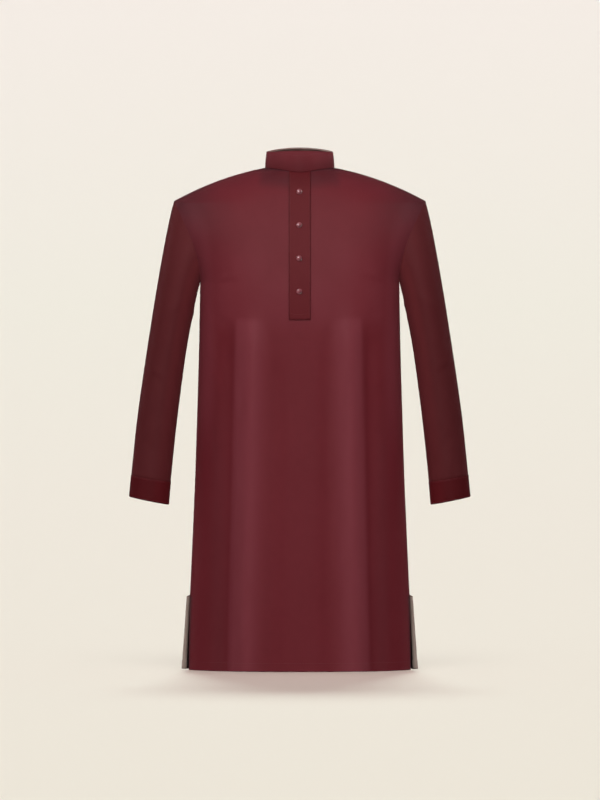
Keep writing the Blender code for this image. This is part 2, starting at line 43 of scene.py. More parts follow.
tunic = {
    "neckHalfWidth": 0.070,
    "neckFrontDepth": 0.066,
    "neckBackDepth": 0.057,
    "neckRange": (-0.030, 0.008),  # heights that the whole neckline lies between
    "neckHalvings": 40,  # of that range, to close in on it
    "shoulderFall": 0.18,
    "shoulderBend": 1.0,
    "shoulderTipX": 0.2545,
    "underarmX": 0.2014,
    "underarmZ": -0.231,
    "armholeDepth": 0.069,
    "rowCrowding": 1.15,
    "hemZ": -1.014,
    # height, half width of the body
    "side": (
        (-0.231, 0.2014), (-0.358, 0.2037), (-0.510, 0.2080), (-0.632, 0.2120),
        (-0.753, 0.2171), (-0.866, 0.2223), (-1.014, 0.2296),
    ),
    # height, half depth in front, half depth behind, how square the section is
    "section": (
        (0.020, 0.040, 0.040, 2.2), (0.000, 0.060, 0.060, 2.2), (-0.006, 0.066, 0.066, 2.2),
        (-0.030, 0.080, 0.084, 2.3), (-0.075, 0.096, 0.102, 2.5), (-0.145, 0.114, 0.114, 2.8),
        (-0.230, 0.125, 0.117, 3.0), (-0.350, 0.126, 0.114, 2.8), (-0.500, 0.129, 0.120, 2.5),
        (-0.700, 0.138, 0.132, 2.35), (-0.870, 0.147, 0.143, 2.3), (-1.014, 0.154, 0.150, 2.25),
    ),
}
frontSide, backSide = -1, 1
panelNames = {frontSide: "front", backSide: "back"}
wearerSides = (("Left", 1), ("Right", -1))


def smooth(table, place, column=1):
    # a smooth curve through a table's rows, read at places in its first column
    rows = np.array(sorted(table), float)
    spots, values = rows[:, 0], rows[:, column]
    place = np.clip(place, spots[0], spots[-1])
    steps = np.diff(spots)
    slopes = np.diff(values) / steps
    ends = np.concatenate([slopes[:1], slopes, slopes[-1:]])
    tangents = (ends[:-1] + ends[1:]) / 2
    i = np.clip(np.searchsorted(spots, place, side="right") - 1, 0, len(steps) - 1)
    t = (place - spots[i]) / steps[i]
    return (
        (2 * t**3 - 3 * t**2 + 1) * values[i]
        + (t**3 - 2 * t**2 + t) * steps[i] * tangents[i]
        + (3 * t**2 - 2 * t**3) * values[i + 1]
        + (t**3 - t**2) * steps[i] * tangents[i + 1]
    )


def unit(vectors):
    vectors = np.asarray(vectors, float)
    return vectors / np.maximum(np.linalg.norm(vectors, axis=-1, keepdims=True), 1e-12)


def ease(part):
    part = np.clip(part, 0.0, 1.0)
    return part * part * (3 - 2 * part)


def rise(value, start, length):
    # 0 at the start and 1 a length further on, which lies the other way where it is negative
    return ease((value - start) / length)


def near(distance, width):
    # 1 at no distance, fading out over the width
    return np.exp(-(distance / width) ** 2)


def shoulderHeight(x):
    out = x - tunic["neckHalfWidth"]
    return -(tunic["shoulderFall"] * out + tunic["shoulderBend"] * out**2)


shoulderTipZ = shoulderHeight(tunic["shoulderTipX"])


def armholePoint(angle):
    # distance out, height and half depth of the armhole, from the shoulder tip (0) to the underarm (pi)
    part = (1 - np.cos(angle)) / 2
    out = tunic["shoulderTipX"] + (tunic["underarmX"] - tunic["shoulderTipX"]) * np.sin(math.pi / 2 * part)
    height = shoulderTipZ + (tunic["underarmZ"] - shoulderTipZ) * part
    return out, height, tunic["armholeDepth"] * np.sin(angle)


def depthAt(z, side):
    return smooth(tunic["section"], z, 1 if side < 0 else 2)


def squareness(z):
    return smooth(tunic["section"], z, 3)


def sectionRest(part, power):
    # how much of one half size is left where the other is used up to this part
    return (1 - np.minimum(np.abs(part), 1.0) ** power) ** (1 / power)


def widthAt(z, side):
    z = np.asarray(z, float)
    fall, bend = tunic["shoulderFall"], tunic["shoulderBend"]
    neck = tunic["neckHalfWidth"] - z / fall
    root = np.sqrt(fall**2 - 4 * bend * np.minimum(z, 0.0))
    shoulder = tunic["neckHalfWidth"] + (root - fall) / (2 * bend)
    part = np.clip((z - shoulderTipZ) / (tunic["underarmZ"] - shoulderTipZ), 0.0, 1.0)
    out, _, deep = armholePoint(np.arccos(1 - 2 * part))
    armhole = out / sectionRest(deep / depthAt(z, side), squareness(z))
    below = smooth(tunic["side"], z)
    return np.select([z >= 0, z >= shoulderTipZ, z > tunic["underarmZ"]], [neck, shoulder, armhole], below)


def sectionY(x, z, side):
    return side * depthAt(z, side) * sectionRest(x / widthAt(z, side), squareness(z))


def neckLine(angles, side):
    # points of the neckline, from the middle (0) to the neck point (pi/2), found on the body's surface
    deep = tunic["neckFrontDepth"] if side == frontSide else tunic["neckBackDepth"]
    x = tunic["neckHalfWidth"] * np.sin(angles)
    y = deep * np.cos(angles)
    low, high = (np.full(len(x), height) for height in tunic["neckRange"])
    for _ in range(tunic["neckHalvings"]):
        z = (low + high) / 2
        width = np.maximum(np.maximum(widthAt(z, side), x), 1e-6)
        inside = y < depthAt(z, side) * sectionRest(x / width, squareness(z))
        low, high = np.where(inside, z, low), np.where(inside, high, z)
    points = np.stack([x, side * y, (low + high) / 2], axis=-1)
    points[np.isclose(angles, math.pi / 2)] = (tunic["neckHalfWidth"], 0.0, 0.0)
    return points


# Folds and creases. The folds are the part's own, the creases lie on top of them and are finer.

folds = {
    # x at the waist, x at the hem, half width, height out, height where it starts
    "front": (
        (-0.0955, -0.1090, 0.021, 0.0075, -0.270), (0.1015, 0.1140, 0.022, 0.0068, -0.255),
        (-0.1400, -0.1560, 0.014, -0.0065, -0.300), (0.1400, 0.1550, 0.014, -0.0058, -0.285),
        (-0.0480, -0.0560, 0.019, -0.0028, -0.340), (0.0550, 0.0600, 0.018, -0.0024, -0.320),
    ),
    "back": (
        (-0.1050, -0.1200, 0.022, 0.0070, -0.240), (0.0920, 0.1060, 0.020, 0.0078, -0.300),
        (-0.1480, -0.1620, 0.014, -0.0055, -0.290), (0.1380, 0.1520, 0.015, -0.0062, -0.330),
        (-0.0420, -0.0480, 0.024, -0.0036, -0.380), (0.0180, 0.0220, 0.020, 0.0030, -0.420),
    ),
    "growthLength": 0.10,
    "lateGrowth": 0.03,
}
crests = {
    # painted highlight along each fold crest: outer edge at the top and at the hem, width, height where it
    # starts
    "front": ((-0.134, -0.151, 0.086, -0.288), (0.130, 0.146, 0.086, -0.286)),
    "back": ((-0.138, -0.152, 0.078, -0.262), (0.124, 0.138, 0.082, -0.318)),
    "edgeWidth": 0.010,
    "core": 0.4,  # this part of the width is palest
    "startLength": 0.022,
    # From here on each pair is where a fade starts and its length, as rise() takes them.
    # painted highlight towards the side seams: along the half width, and upwards
    "sideAcross": (0.78, 0.14),
    "sideUp": (-0.62, 0.20),
    "sideMost": 0.75,
    # painted highlight over the chest: upwards, away from the middle or below its upper part, and less near
    # the shoulders
    "chestUp": (-0.345, 0.060),
    "chestAcross": (0.15, 0.35),
    "chestDown": (-0.170, -0.090),
    "chestTop": (-0.200, 0.080),
    "chestMost": 0.40,
    "chestTopLoss": 0.85,
}
creases = {
    "endPower": 1.5,  # how softly a crease fades in and out along its length
    # from (x, z), to (x, z), sideways bow as a part of the length, half width, height out
    "front": (
        (0.186, -0.236, 0.112, -0.205, 0.10, 0.0075, 0.0008),
        (0.188, -0.262, 0.126, -0.300, -0.08, 0.0085, -0.0007),
        (-0.187, -0.240, -0.105, -0.214, -0.12, 0.0080, 0.0007),
        (-0.185, -0.268, -0.135, -0.322, 0.10, 0.0090, -0.0008),
        (0.168, -0.330, 0.172, -0.560, 0.05, 0.0100, 0.0010),
        (-0.170, -0.360, -0.176, -0.640, -0.04, 0.0110, 0.0009),
        (0.078, -0.640, 0.086, -0.985, 0.03, 0.0120, 0.0010),
        (-0.074, -0.580, -0.080, -0.900, -0.03, 0.0130, -0.0008),
        (0.185, -0.700, 0.196, -0.960, -0.03, 0.0100, -0.0009),
        (-0.186, -0.660, -0.192, -0.880, 0.03, 0.0110, 0.0009),
        (0.022, -0.700, 0.026, -1.000, 0.02, 0.0160, 0.0007),
    ),
    "back": (
        (0.184, -0.238, 0.100, -0.196, 0.10, 0.0090, 0.0011),
        (0.186, -0.270, 0.120, -0.318, -0.08, 0.0085, -0.0009),
        (-0.185, -0.240, -0.092, -0.200, -0.12, 0.0095, 0.0012),
        (-0.184, -0.276, -0.128, -0.340, 0.10, 0.0090, -0.0010),
        (0.060, -0.085, 0.074, -0.260, 0.06, 0.0120, 0.0010),
        (-0.064, -0.090, -0.082, -0.290, -0.05, 0.0130, 0.0012),
        (0.164, -0.380, 0.172, -0.640, 0.05, 0.0110, 0.0011),
        (-0.070, -0.560, -0.078, -0.930, -0.03, 0.0130, 0.0012),
        (0.060, -0.610, 0.066, -0.990, 0.03, 0.0120, -0.0010),
        (-0.180, -0.640, -0.190, -0.900, 0.03, 0.0110, 0.0010),
        (-0.010, -0.440, -0.006, -0.780, 0.02, 0.0150, -0.0010),
    ),
    # on a sleeve: from (round, down), to (round, down), where round is metres from the middle of its front
    # and down is metres from the shoulder tip
    "sleeve": (
        (0.062, 0.300, -0.018, 0.338, 0.10, 0.0075, 0.0012),
        (0.060, 0.330, -0.006, 0.352, -0.08, 0.0065, -0.0010),
        (0.064, 0.262, 0.012, 0.286, 0.12, 0.0070, -0.0009),
        (0.055, 0.214, -0.030, 0.178, 0.10, 0.0085, 0.0011),
        (-0.010, 0.420, -0.052, 0.462, 0.08, 0.0080, 0.0009),
        (0.040, 0.466, -0.012, 0.500, -0.08, 0.0075, -0.0008),
        (0.010, 0.508, -0.004, 0.560, 0.03, 0.0060, 0.0009),
        (-0.026, 0.512, -0.030, 0.562, -0.03, 0.0055, -0.0008),
        (0.034, 0.516, 0.030, 0.562, 0.03, 0.0055, 0.0008),
        (-0.150, 0.300, -0.096, 0.330, 0.10, 0.0085, 0.0013),
        (-0.158, 0.352, -0.108, 0.366, -0.08, 0.0075, -0.0011),
        (-0.140, 0.236, -0.070, 0.206, 0.10, 0.0090, 0.0012),
        (-0.126, 0.440, -0.088, 0.478, 0.08, 0.0080, 0.0010),
        (0.130, 0.320, 0.092, 0.344, -0.10, 0.0080, 0.0011),
        (0.124, 0.398, 0.086, 0.420, 0.08, 0.0075, -0.0009),
        (0.118, 0.508, 0.114, 0.560, 0.03, 0.0060, 0.0009),
        (-0.112, 0.506, -0.108, 0.560, 0.03, 0.0060, 0.0009),
    ),
}


def foldHeight(x, z, rows):
    total = np.zeros_like(x)
    for waistX, hemX, halfWidth, height, start in rows:
        down = np.maximum((start - z) / folds["growthLength"], 0.0)
        middle = waistX + (hemX - waistX) * (start - z) / (start - tunic["hemZ"])
        growth = ease(down) + folds["lateGrowth"] * np.maximum(down - 1.0, 0.0)
        total += height * growth * near(x - middle, halfWidth)
    return total


# how much painted highlight lies along the fold crests
def crestAmount(x, z, rows):
    total = np.zeros_like(x)
    for topX, hemX, width, start in rows:
        outer = topX + (hemX - topX) * (start - z) / (start - tunic["hemZ"])
        inward = (outer - x) * np.sign(topX)
        core = crests["core"] * width
        side = rise(inward, 0.0, crests["edgeWidth"]) * (1 - rise(inward, core, width - core))
        total += side * rise(z, start, -crests["startLength"])
    return total


def creaseHeight(across, down, rows):
    total = np.zeros_like(across)
    for startA, startD, endA, endD, bow, halfWidth, height in rows:
        runA, runD = endA - startA, endD - startD
        length = math.hypot(runA, runD)
        along = ((across - startA) * runA + (down - startD) * runD) / length**2
        off = ((across - startA) * runD - (down - startD) * runA) / length
        off = off - bow * length * 4 * along * (1 - along)
        fade = np.sin(math.pi * np.clip(along, 0.0, 1.0)) ** creases["endPower"]
        total += height * fade * near(off, halfWidth)
    return total


# Grids of cloth: rows run down, columns run across.

def gridNormals(points, turn):
    total = np.zeros_like(points)
    a, b, c, d = points[:-1, :-1], points[:-1, 1:], points[1:, 1:], points[1:, :-1]
    faces = turn * np.cross(c - a, d - b)
    total[:-1, :-1] += faces
    total[:-1, 1:] += faces
    total[1:, 1:] += faces
    total[1:, :-1] += faces
    return unit(total)


def tubeNormals(points, turn):
    wrapped = np.concatenate([points[:, -1:], points, points[:, :1]], axis=1)
    return gridNormals(wrapped, turn)[:, 1:-1]


def runLengths(points, axis):
    # distance run along a grid's rows (axis 0) or columns (axis 1)
    steps = np.linalg.norm(np.diff(points, axis=axis), axis=-1)
    start = np.zeros_like(np.take(steps, [0], axis=axis))
    return np.concatenate([start, np.cumsum(steps, axis=axis)], axis=axis)


def fromSides(points):
    # distance to the nearer side of an open grid
    across = runLengths(points, 1)
    return np.minimum(across, across[:, -1:] - across)


def fromBottom(points):
    down = runLengths(points, 0)
    return down[-1:] - down


def readAlong(places, run, grid):
    # a line's points or normals, at places of its run
    return np.stack([np.interp(places, run, grid[:, k]) for k in range(3)], axis=-1)


def borderLoops(rows, columns, closed):
    # the rows and columns of each border's points, in order, and of their neighbours inside it
    r, c = np.arange(rows), np.arange(columns)
    if closed:
        return [((0 * c, c), (0 * c + 1, c)), ((0 * c + rows - 1, c), (0 * c + rows - 2, c))]
    edgeR = np.concatenate([0 * c, r[1:], 0 * c[1:] + rows - 1, r[-2:0:-1]])
    edgeC = np.concatenate([c, 0 * r[1:] + columns - 1, c[-2::-1], 0 * r[-2:0:-1]])
    return [((edgeR, edgeC), (np.clip(edgeR, 1, rows - 2), np.clip(edgeC, 1, columns - 2)))]


def clothShell(name, outer, normals, thickness, closed=False, roundness=0.45):
    # a closed wall with rounded borders round a grid of outer points, with UVs in metres
    rows, columns = outer.shape[:2]
    thick = np.broadcast_to(np.asarray(thickness, float), (rows, columns))
    inner = outer - normals * thick[..., None]
    count = rows * columns
    index = np.arange(count).reshape(rows, columns)
    points = [outer.reshape(-1, 3), inner.reshape(-1, 3)]
    across, down = runLengths(outer, 1), runLengths(outer, 0)
    if closed:
        turnLength = across[:, -1] + np.linalg.norm(outer[:, 0] - outer[:, -1], axis=-1)
        across = np.concatenate([across, turnLength[:, None]], axis=1)
        index, down = (np.concatenate([grid, grid[:, :1]], axis=1) for grid in (index, down))
    uv = np.stack([across - across.mean(axis=1, keepdims=True), -down], axis=-1)
    start, end = slice(0, -1), slice(1, None)
    corners = ((start, start), (start, end), (end, end), (end, start))
    outerFaces = np.stack([index[corner].ravel() for corner in corners], axis=-1)
    outerUv = np.stack([uv[corner].reshape(-1, 2) for corner in corners], axis=1)
    faces = [outerFaces, outerFaces[:, ::-1] + count]
    uvs = [outerUv, outerUv[:, ::-1]]
    total = 2 * count
    for edge, inside in borderLoops(rows, columns, closed):
        edgeIds = edge[0] * columns + edge[1]
        outward = unit(outer[edge] - outer[inside])
        middle = (outer[edge] + inner[edge]) / 2
        points.append(middle + outward * (roundness * thick[edge])[:, None])
        middleIds = total + np.arange(len(edgeIds))
        total += len(edgeIds)
        ends = uv[edge], np.roll(uv[edge], -1, axis=0)
        for a, b in ((edgeIds, middleIds), (middleIds, edgeIds + count)):
            faces.append(np.stack([a, np.roll(a, -1), np.roll(b, -1), b], axis=-1))
            uvs.append(np.stack([ends[0], ends[1], ends[1], ends[0]], axis=1))
    piece = meshObject(name, np.concatenate(points), np.concatenate(faces).tolist())
    layer = piece.data.uv_layers.new(name="clothUv")
    layer.data.foreach_set("uv", np.concatenate(uvs).ravel().astype(np.float32))
    turnOut(piece)
    return piece


def newObject(name, data):
    made = bpy.data.objects.new(name, data)
    bpy.context.scene.collection.objects.link(made)
    return made


def meshObject(name, vertices, faces):
    mesh = bpy.data.meshes.new(name)
    mesh.from_pydata(vertices.tolist(), [], faces)
    mesh.shade_smooth()
    return newObject(name, mesh)


def turnOut(piece):
    shape = bmesh.new()
    shape.from_mesh(piece.data)
    bmesh.ops.recalc_face_normals(shape, faces=shape.faces)
    shape.to_mesh(piece.data)
    shape.free()


def maskWalls(piece, name, outer, inner=0.0, border=0.0):
    # a mask on a cloth shell, whose vertices are its outer wall, its inner wall and then its borders
    mask = np.full(len(piece.data.vertices), border, np.float32)
    mask[:outer.size] = outer.ravel()
    mask[outer.size:2 * outer.size] = np.ravel(inner)
    layer = piece.data.attributes.new(name, "FLOAT", "POINT")
    layer.data.foreach_set("value", mask)


def rubBorders(piece, distance):
    rubbed = near(distance, wear["width"])
    maskWalls(piece, "edgeMask", rubbed, rubbed * wear["inside"], 1.0)


# Finishes

# each finish: base and deep dye, the colour of rubbed borders, then a painted-highlight colour and a
# painted-shade colour where it has them
finishes = {
    "bodyCloth": {
        "base": (0.105, 0.0122, 0.0168), "deep": (0.092, 0.0100, 0.0138), "worn": (0.160, 0.034, 0.042),
        "seam": (0.037, 0.0120, 0.0145), "paintedLightTint": (0.134, 0.0235, 0.0310),
        "roughness": 0.44, "specular": 0.13, "sheen": 0.02, "pitch": 0.0007, "weaveDepth": 0.00010,
    },
    # the body's cloth, made darker: painted shade for the sleeves
    "sleeveCloth": {
        "base": (0.0725, 0.0117, 0.0134), "deep": (0.063, 0.0095, 0.0110), "worn": (0.130, 0.032, 0.038),
        "seam": (0.030, 0.0030, 0.0040), "paintedLightTint": (0.112, 0.0190, 0.0215),
        "roughness": 0.45, "specular": 0.10, "sheen": 0.02, "pitch": 0.0007, "weaveDepth": 0.00010,
    },
    "collarCloth": {
        "base": (0.111, 0.0178, 0.0228), "deep": (0.099, 0.0148, 0.0190), "worn": (0.160, 0.034, 0.042),
        "seam": (0.036, 0.0034, 0.0046), "paintedLightTint": (0.136, 0.0280, 0.0335),
        "roughness": 0.42, "specular": 0.05, "sheen": 0.02, "pitch": 0.0006, "weaveDepth": 0.00008,
    },
    "placketCloth": {
        "base": (0.0715, 0.0090, 0.0112), "deep": (0.0625, 0.0072, 0.0090), "worn": (0.150, 0.030, 0.036),
        "seam": (0.030, 0.0028, 0.0038),
        "roughness": 0.45, "specular": 0.06, "sheen": 0.01, "pitch": 0.0006, "weaveDepth": 0.00008,
    },
    "cuffCloth": {
        "base": (0.064, 0.0056, 0.0074), "deep": (0.052, 0.0042, 0.0056), "worn": (0.110, 0.022, 0.027),
        "seam": (0.024, 0.0022, 0.0030), "paintedLightTint": (0.100, 0.0088, 0.0116),
        "roughness": 0.48, "specular": 0.08, "sheen": 0.01, "pitch": 0.0006, "weaveDepth": 0.00008,
    },
    "facingCloth": {
        "base": (0.300, 0.225, 0.190), "deep": (0.240, 0.175, 0.145), "worn": (0.400, 0.320, 0.280),
        "seam": (0.022, 0.005, 0.004),
        "roughness": 0.75, "specular": 0.20, "sheen": 0.05, "pitch": 0.0008, "weaveDepth": 0.00012,
    },
    "thread": {
        "base": (0.090, 0.0095, 0.0125), "deep": (0.070, 0.0065, 0.0088),
        "roughness": 0.45, "twist": 2500.0, "twistDepth": 0.0001, "twistStrength": 0.4,
    },
    "button": {
        "base": (0.260, 0.080, 0.092), "deep": (0.185, 0.050, 0.058),
        "roughness": (0.23, 0.38), "coat": 0.35, "coatRoughness": 0.12,
        "swirl": 180.0, "distortion": 1.6, "rubs": 900.0,
    },
}
weaveLook = {
    "slub": 0.5, "slubStretch": (1300.0, 45.0), "slubDetail": 1.0,
    "heights": (0.0, 2.0), "strength": 0.5, "roughnessSpread": 0.06,
}
sheenLook = {"Sheen Roughness": 0.45, "Sheen Tint": (0.75, 0.45, 0.47, 1.0)}
wear = {"width": 0.0018, "inside": 0.6, "amount": 0.35}  # of rubbed borders
patches = {
    # a mask of the piece, how fine its patches are along x, y and z, the noise they start and end at, and
    # what is left between them
    "edgeWear": ("edgeMask", (140.0, 140.0, 140.0), (0.42, 0.66), 0.0),  # rubbed borders
    "paintedLight": ("paintedLightMask", (45.0, 45.0, 15.0), (0.3, 0.7), 0.8),  # painted highlights
    "paintedShade": ("paintedShadeMask", (55.0, 55.0, 55.0), (0.3, 0.7), 0.85),  # painted shade
}
dyeDepths = ((3.5, 2.0, 0.6), (60.0, 3.0, 0.25))  # wide patches, then specks: scale, detail, how much
threadDye = 0.15
noiseLow, noiseHigh = 0.35, 0.65  # most of a noise lies between these


def colour(rgb):
    return (*rgb, 1.0)


def feed(tree, inputs, feeds):
    # each input gets a value or another node's output
    for key, source in feeds.items():
        if isinstance(source, bpy.types.NodeSocket):
            tree.links.new(source, inputs[key])
        else:
            inputs[key].default_value = source


def addNode(tree, kind, place, feeds, **settings):
    node = tree.nodes.new(kind)
    node.location = place
    for key, value in settings.items():
        setattr(node, key, value)
    feed(tree, node.inputs, feeds)
    return node.outputs


def combine(tree, place, operation, *terms, **settings):
    feeds = dict(enumerate(terms))
    return addNode(tree, "ShaderNodeMath", place, feeds, operation=operation, **settings)[0]


def noiseAt(tree, place, where, scale, **inputs):
    return addNode(tree, "ShaderNodeTexNoise", place, {"Vector": where, "Scale": scale, **inputs})[0]


def spread(tree, place, value, start, end, least, most):
    # a value from start to end becomes one from least to most
    feeds = {"Value": value, "From Min": start, "From Max": end, "To Min": least, "To Max": most}
    return addNode(tree, "ShaderNodeMapRange", place, feeds)[0]


def mixColours(tree, place, amount, plain, other):
    feeds = {"Factor": amount, "A": plain, "B": other}
    return addNode(tree, "ShaderNodeMix", place, feeds, data_type="RGBA")["Result"]


def bumpFrom(tree, place, height, strength, distance):
    feeds = {"Height": height, "Strength": strength, "Distance": distance}
    return addNode(tree, "ShaderNodeBump", place, feeds)[0]


def onPiece(tree, place):
    return addNode(tree, "ShaderNodeTexCoord", place, {})["Object"]


def newGroup(name, inputs, outputs):
    group = bpy.data.node_groups.new(name, "ShaderNodeTree")
    for label, value in inputs.items():
        kind = "NodeSocketColor" if isinstance(value, tuple) else "NodeSocketFloat"
        group.interface.new_socket(label, in_out="INPUT", socket_type=kind).default_value = value
    for label in outputs:
        kind = "NodeSocketColor" if label == "Colour" else "NodeSocketFloat"
        group.interface.new_socket(label, in_out="OUTPUT", socket_type=kind)
    given, result = group.nodes.new("NodeGroupInput"), group.nodes.new("NodeGroupOutput")
    given.location, result.location = (-1100, 0), (700, 0)
    return group, given.outputs, result.inputs


def makeWeaveGroup():
    # plain weave: threads cross over and under at each pitch, and each thread swells and thins along its run
    group, given, result = newGroup("weave", {"Pitch": 0.0007, "Slub": 0.5}, ("Height", "Thread"))
    uv = addNode(group, "ShaderNodeUVMap", (-900, -200), {}, uv_map="clothUv")["UV"]
    turns = combine(group, (-700, 100), "DIVIDE", 2 * math.pi, given["Pitch"])
    scaled = addNode(group, "ShaderNodeVectorMath", (-500, 0), {0: uv, "Scale": turns}, operation="SCALE")[0]
    split = addNode(group, "ShaderNodeSeparateXYZ", (-320, 0), {0: scaled})
    weft = combine(group, (-140, 100), "SINE", split["X"])
    warp = combine(group, (-140, -60), "SINE", split["Y"])
    crossing = combine(group, (40, 40), "MULTIPLY", weft, warp)
    swells = []
    for down, stretch in ((-300, weaveLook["slubStretch"]), (-520, weaveLook["slubStretch"][::-1])):
        drawn = addNode(group, "ShaderNodeMapping", (-500, down), {"Vector": uv, "Scale": (*stretch, 1.0)})[0]
        swells.append(noiseAt(group, (-320, down), drawn, 1.0, Detail=weaveLook["slubDetail"]))
    swell = combine(group, (-120, -380), "ADD", *swells)
    slub = combine(group, (60, -300), "MULTIPLY", swell, given["Slub"])
    half = combine(group, (220, 40), "MULTIPLY_ADD", crossing, 0.5, 0.5)
    height = combine(group, (420, 0), "ADD", half, slub)
    feed(group, result, {"Height": height, "Thread": swell})
    return group


def makeDyeGroup():
    # the dye lies a little deeper in wide soft patches, and each thread takes it a little differently
    plain = colour(finishes["bodyCloth"]["base"])
    group, given, result = newGroup("dye", {"Base": plain, "Deep": plain, "Thread": 0.5}, ("Colour",))
    where = onPiece(group, (-900, -250))
    # Thread is the sum of two noises
    amount = spread(group, (-420, 100), given["Thread"], 2 * noiseLow, 2 * noiseHigh, 0.0, threadDye)
    for i, (scale, detail, most) in enumerate(dyeDepths):
        noise = noiseAt(group, (-650, -150 - 250 * i), where, scale, Detail=detail)
        more = spread(group, (-420, -150 - 250 * i), noise, noiseLow, noiseHigh, 0.0, most)
        amount = combine(group, (-200 + 200 * i, -100), "ADD", amount, more, use_clamp=True)
    feed(group, result, {"Colour": mixColours(group, (250, 50), amount, given["Base"], given["Deep"])})
    return group


def makePatchGroup(name):
    # a mask of the piece's own, uneven over the cloth
    attribute, fineness, (start, end), least = patches[name]
    group, given, result = newGroup(name, {"Amount": 1.0}, ("Mask",))
    mask = addNode(group, "ShaderNodeAttribute", (-700, 100), {}, attribute_name=attribute)["Fac"]
    feeds = {"Vector": onPiece(group, (-1100, -200)), "Scale": fineness}
    where = addNode(group, "ShaderNodeMapping", (-900, -200), feeds)[0]
    uneven = spread(group, (-480, -150), noiseAt(group, (-700, -150), where, 1.0), start, end, least, 1.0)
    patchy = combine(group, (-250, 0), "MULTIPLY", mask, uneven)
    amount = combine(group, (0, 0), "MULTIPLY", patchy, given["Amount"], use_clamp=True)
    feed(group, result, {"Mask": amount})
    return group


groups = {"weave": makeWeaveGroup(), "dye": makeDyeGroup()}
groups.update({name: makePatchGroup(name) for name in patches})


def useGroup(tree, name, place, **feeds):
    return addNode(tree, "ShaderNodeGroup", place, feeds, node_tree=groups[name])


def newMaterial(name):
    material = bpy.data.materials.new(name)
    material.use_nodes = True
    return material, material.node_tree, material.node_tree.nodes["Principled BSDF"].inputs


def dyed(tree, finish, **feeds):
    base, deep = colour(finish["base"]), colour(finish["deep"])
    return useGroup(tree, "dye", (-650, 200), Base=base, Deep=deep, **feeds)["Colour"]


def clothMaterial(name):
    finish = finishes[name]
    material, tree, surface = newMaterial(name)
    weave = useGroup(tree, "weave", (-900, -200), Pitch=finish["pitch"], Slub=weaveLook["slub"])
    dye = dyed(tree, finish, Thread=weave["Thread"])
    # rubbed borders, then painted highlights, then painted shade, each mixed into the dyed colour
    layers = (("edgeWear", "worn", wear["amount"]), ("paintedLight", "paintedLightTint", 1.0), ("paintedShade", "seam", 1.0))
    for i, (group, tint, amount) in enumerate(layers):
        if tint in finish:
            mask = useGroup(tree, group, (-550 + 200 * i, 350 + 150 * i), Amount=amount)["Mask"]
            dye = mixColours(tree, (-350 + 200 * i, 150 + 100 * i), mask, dye, colour(finish[tint]))
    rough, vary = finish["roughness"], weaveLook["roughnessSpread"]
    low, high = weaveLook["heights"]
    feed(tree, surface, {
        "Base Color": dye,
        "Roughness": spread(tree, (-350, -80), weave["Height"], low, high, rough - vary, rough + vary),
        "Normal": bumpFrom(tree, (-350, -350), weave["Height"], weaveLook["strength"], finish["weaveDepth"]),
        "Specular IOR Level": finish["specular"], "Sheen Weight": finish["sheen"], **sheenLook,
    })
    return material


def threadMaterial():
    finish = finishes["thread"]
    material, tree, surface = newMaterial("thread")
    twist = noiseAt(tree, (-600, -250), onPiece(tree, (-800, -250)), finish["twist"])
    feed(tree, surface, {
        "Base Color": dyed(tree, finish),
        "Roughness": finish["roughness"],
        "Normal": bumpFrom(tree, (-300, -250), twist, finish["twistStrength"], finish["twistDepth"]),
    })
    return material


def buttonMaterial():
    # cast resin: a slow swirl under a clear, lightly rubbed face
    finish = finishes["button"]
    material, tree, surface = newMaterial("button")
    where = onPiece(tree, (-1000, 0))
    swirl = noiseAt(tree, (-800, 100), where, finish["swirl"], Distortion=finish["distortion"])
    rubs = noiseAt(tree, (-800, -250), where, finish["rubs"])
    feed(tree, surface, {
        "Base Color": mixColours(tree, (-450, 100), swirl, colour(finish["deep"]), colour(finish["base"])),
        "Roughness": spread(tree, (-450, -200), rubs, 0.0, 1.0, *finish["roughness"]),
        "Coat Roughness": finish["coatRoughness"], "Coat Weight": finish["coat"],
    })
    return material


materials = {name: clothMaterial(name) for name in finishes if name.endswith("Cloth")}
materials["thread"] = threadMaterial()
materials["button"] = buttonMaterial()
print("finishes made:", ", ".join(sorted(materials)))


def dress(piece, finish, slot, *nodes):
    piece.data.materials.clear()
    piece.data.materials.append(materials[finish])
    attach(piece, "root")
    if nodes:
        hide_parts(*nodes)


# Front and back

panel = {
    "thickness": 0.0010,
    "shoulderRows": 56,
    "rowHeight": 0.0055,
    "neckColumns": 16,
    "shoulderColumns": 46,
    "hemWidth": 0.018,
    "hemThickness": 0.0018,
    "hemStep": 0.0015,  # the hem's thickness sets in over this much
    "hemRowHeight": 0.0015,
    "hemRowsAbove": 0.003,  # the closer rows start this far above the hem's turn
    "creaseRest": 0.022,  # creases fade out this close to a seam
}
shade = {
    # painted shade on the front, as (start, length) of each fade
    # beside the armhole: away from the side, and upwards
    "armAcross": (0.140, -0.140),
    "armUp": (tunic["underarmZ"], 0.300),
    "arm": 1.20,
    # along the shoulder seam, which has a painted highlight too: down from the seam, and away from the middle
    "shoulderFall": (0.055, -0.055),
    "shoulderAcross": (0.045, 0.030),
    "shoulder": 0.20,
    "shoulderPale": 0.45,
    # beside the folds' painted highlights: distance from the middle, half width, and downwards
    "foldX": 0.166,
    "foldWidth": 0.015,
    "foldDown": (-0.40, -0.20),
    "fold": 0.16,
    # painted shadow under the collar: down from its foot, and away from the middle, then a line close under
    # it
    "neckFall": (0.046, -0.02875),
    "neckAcross": (0.094, -0.024),
    "neck": 0.56,
    "neckLine": 0.0030,
    "neckPast": 0.001,
    # painted shade along the vent: the border's width, and the part of it that is lost at the hem
    "ventWidth": 0.0070,
    "ventLoss": 0.6,
    "vent": 0.95,
}
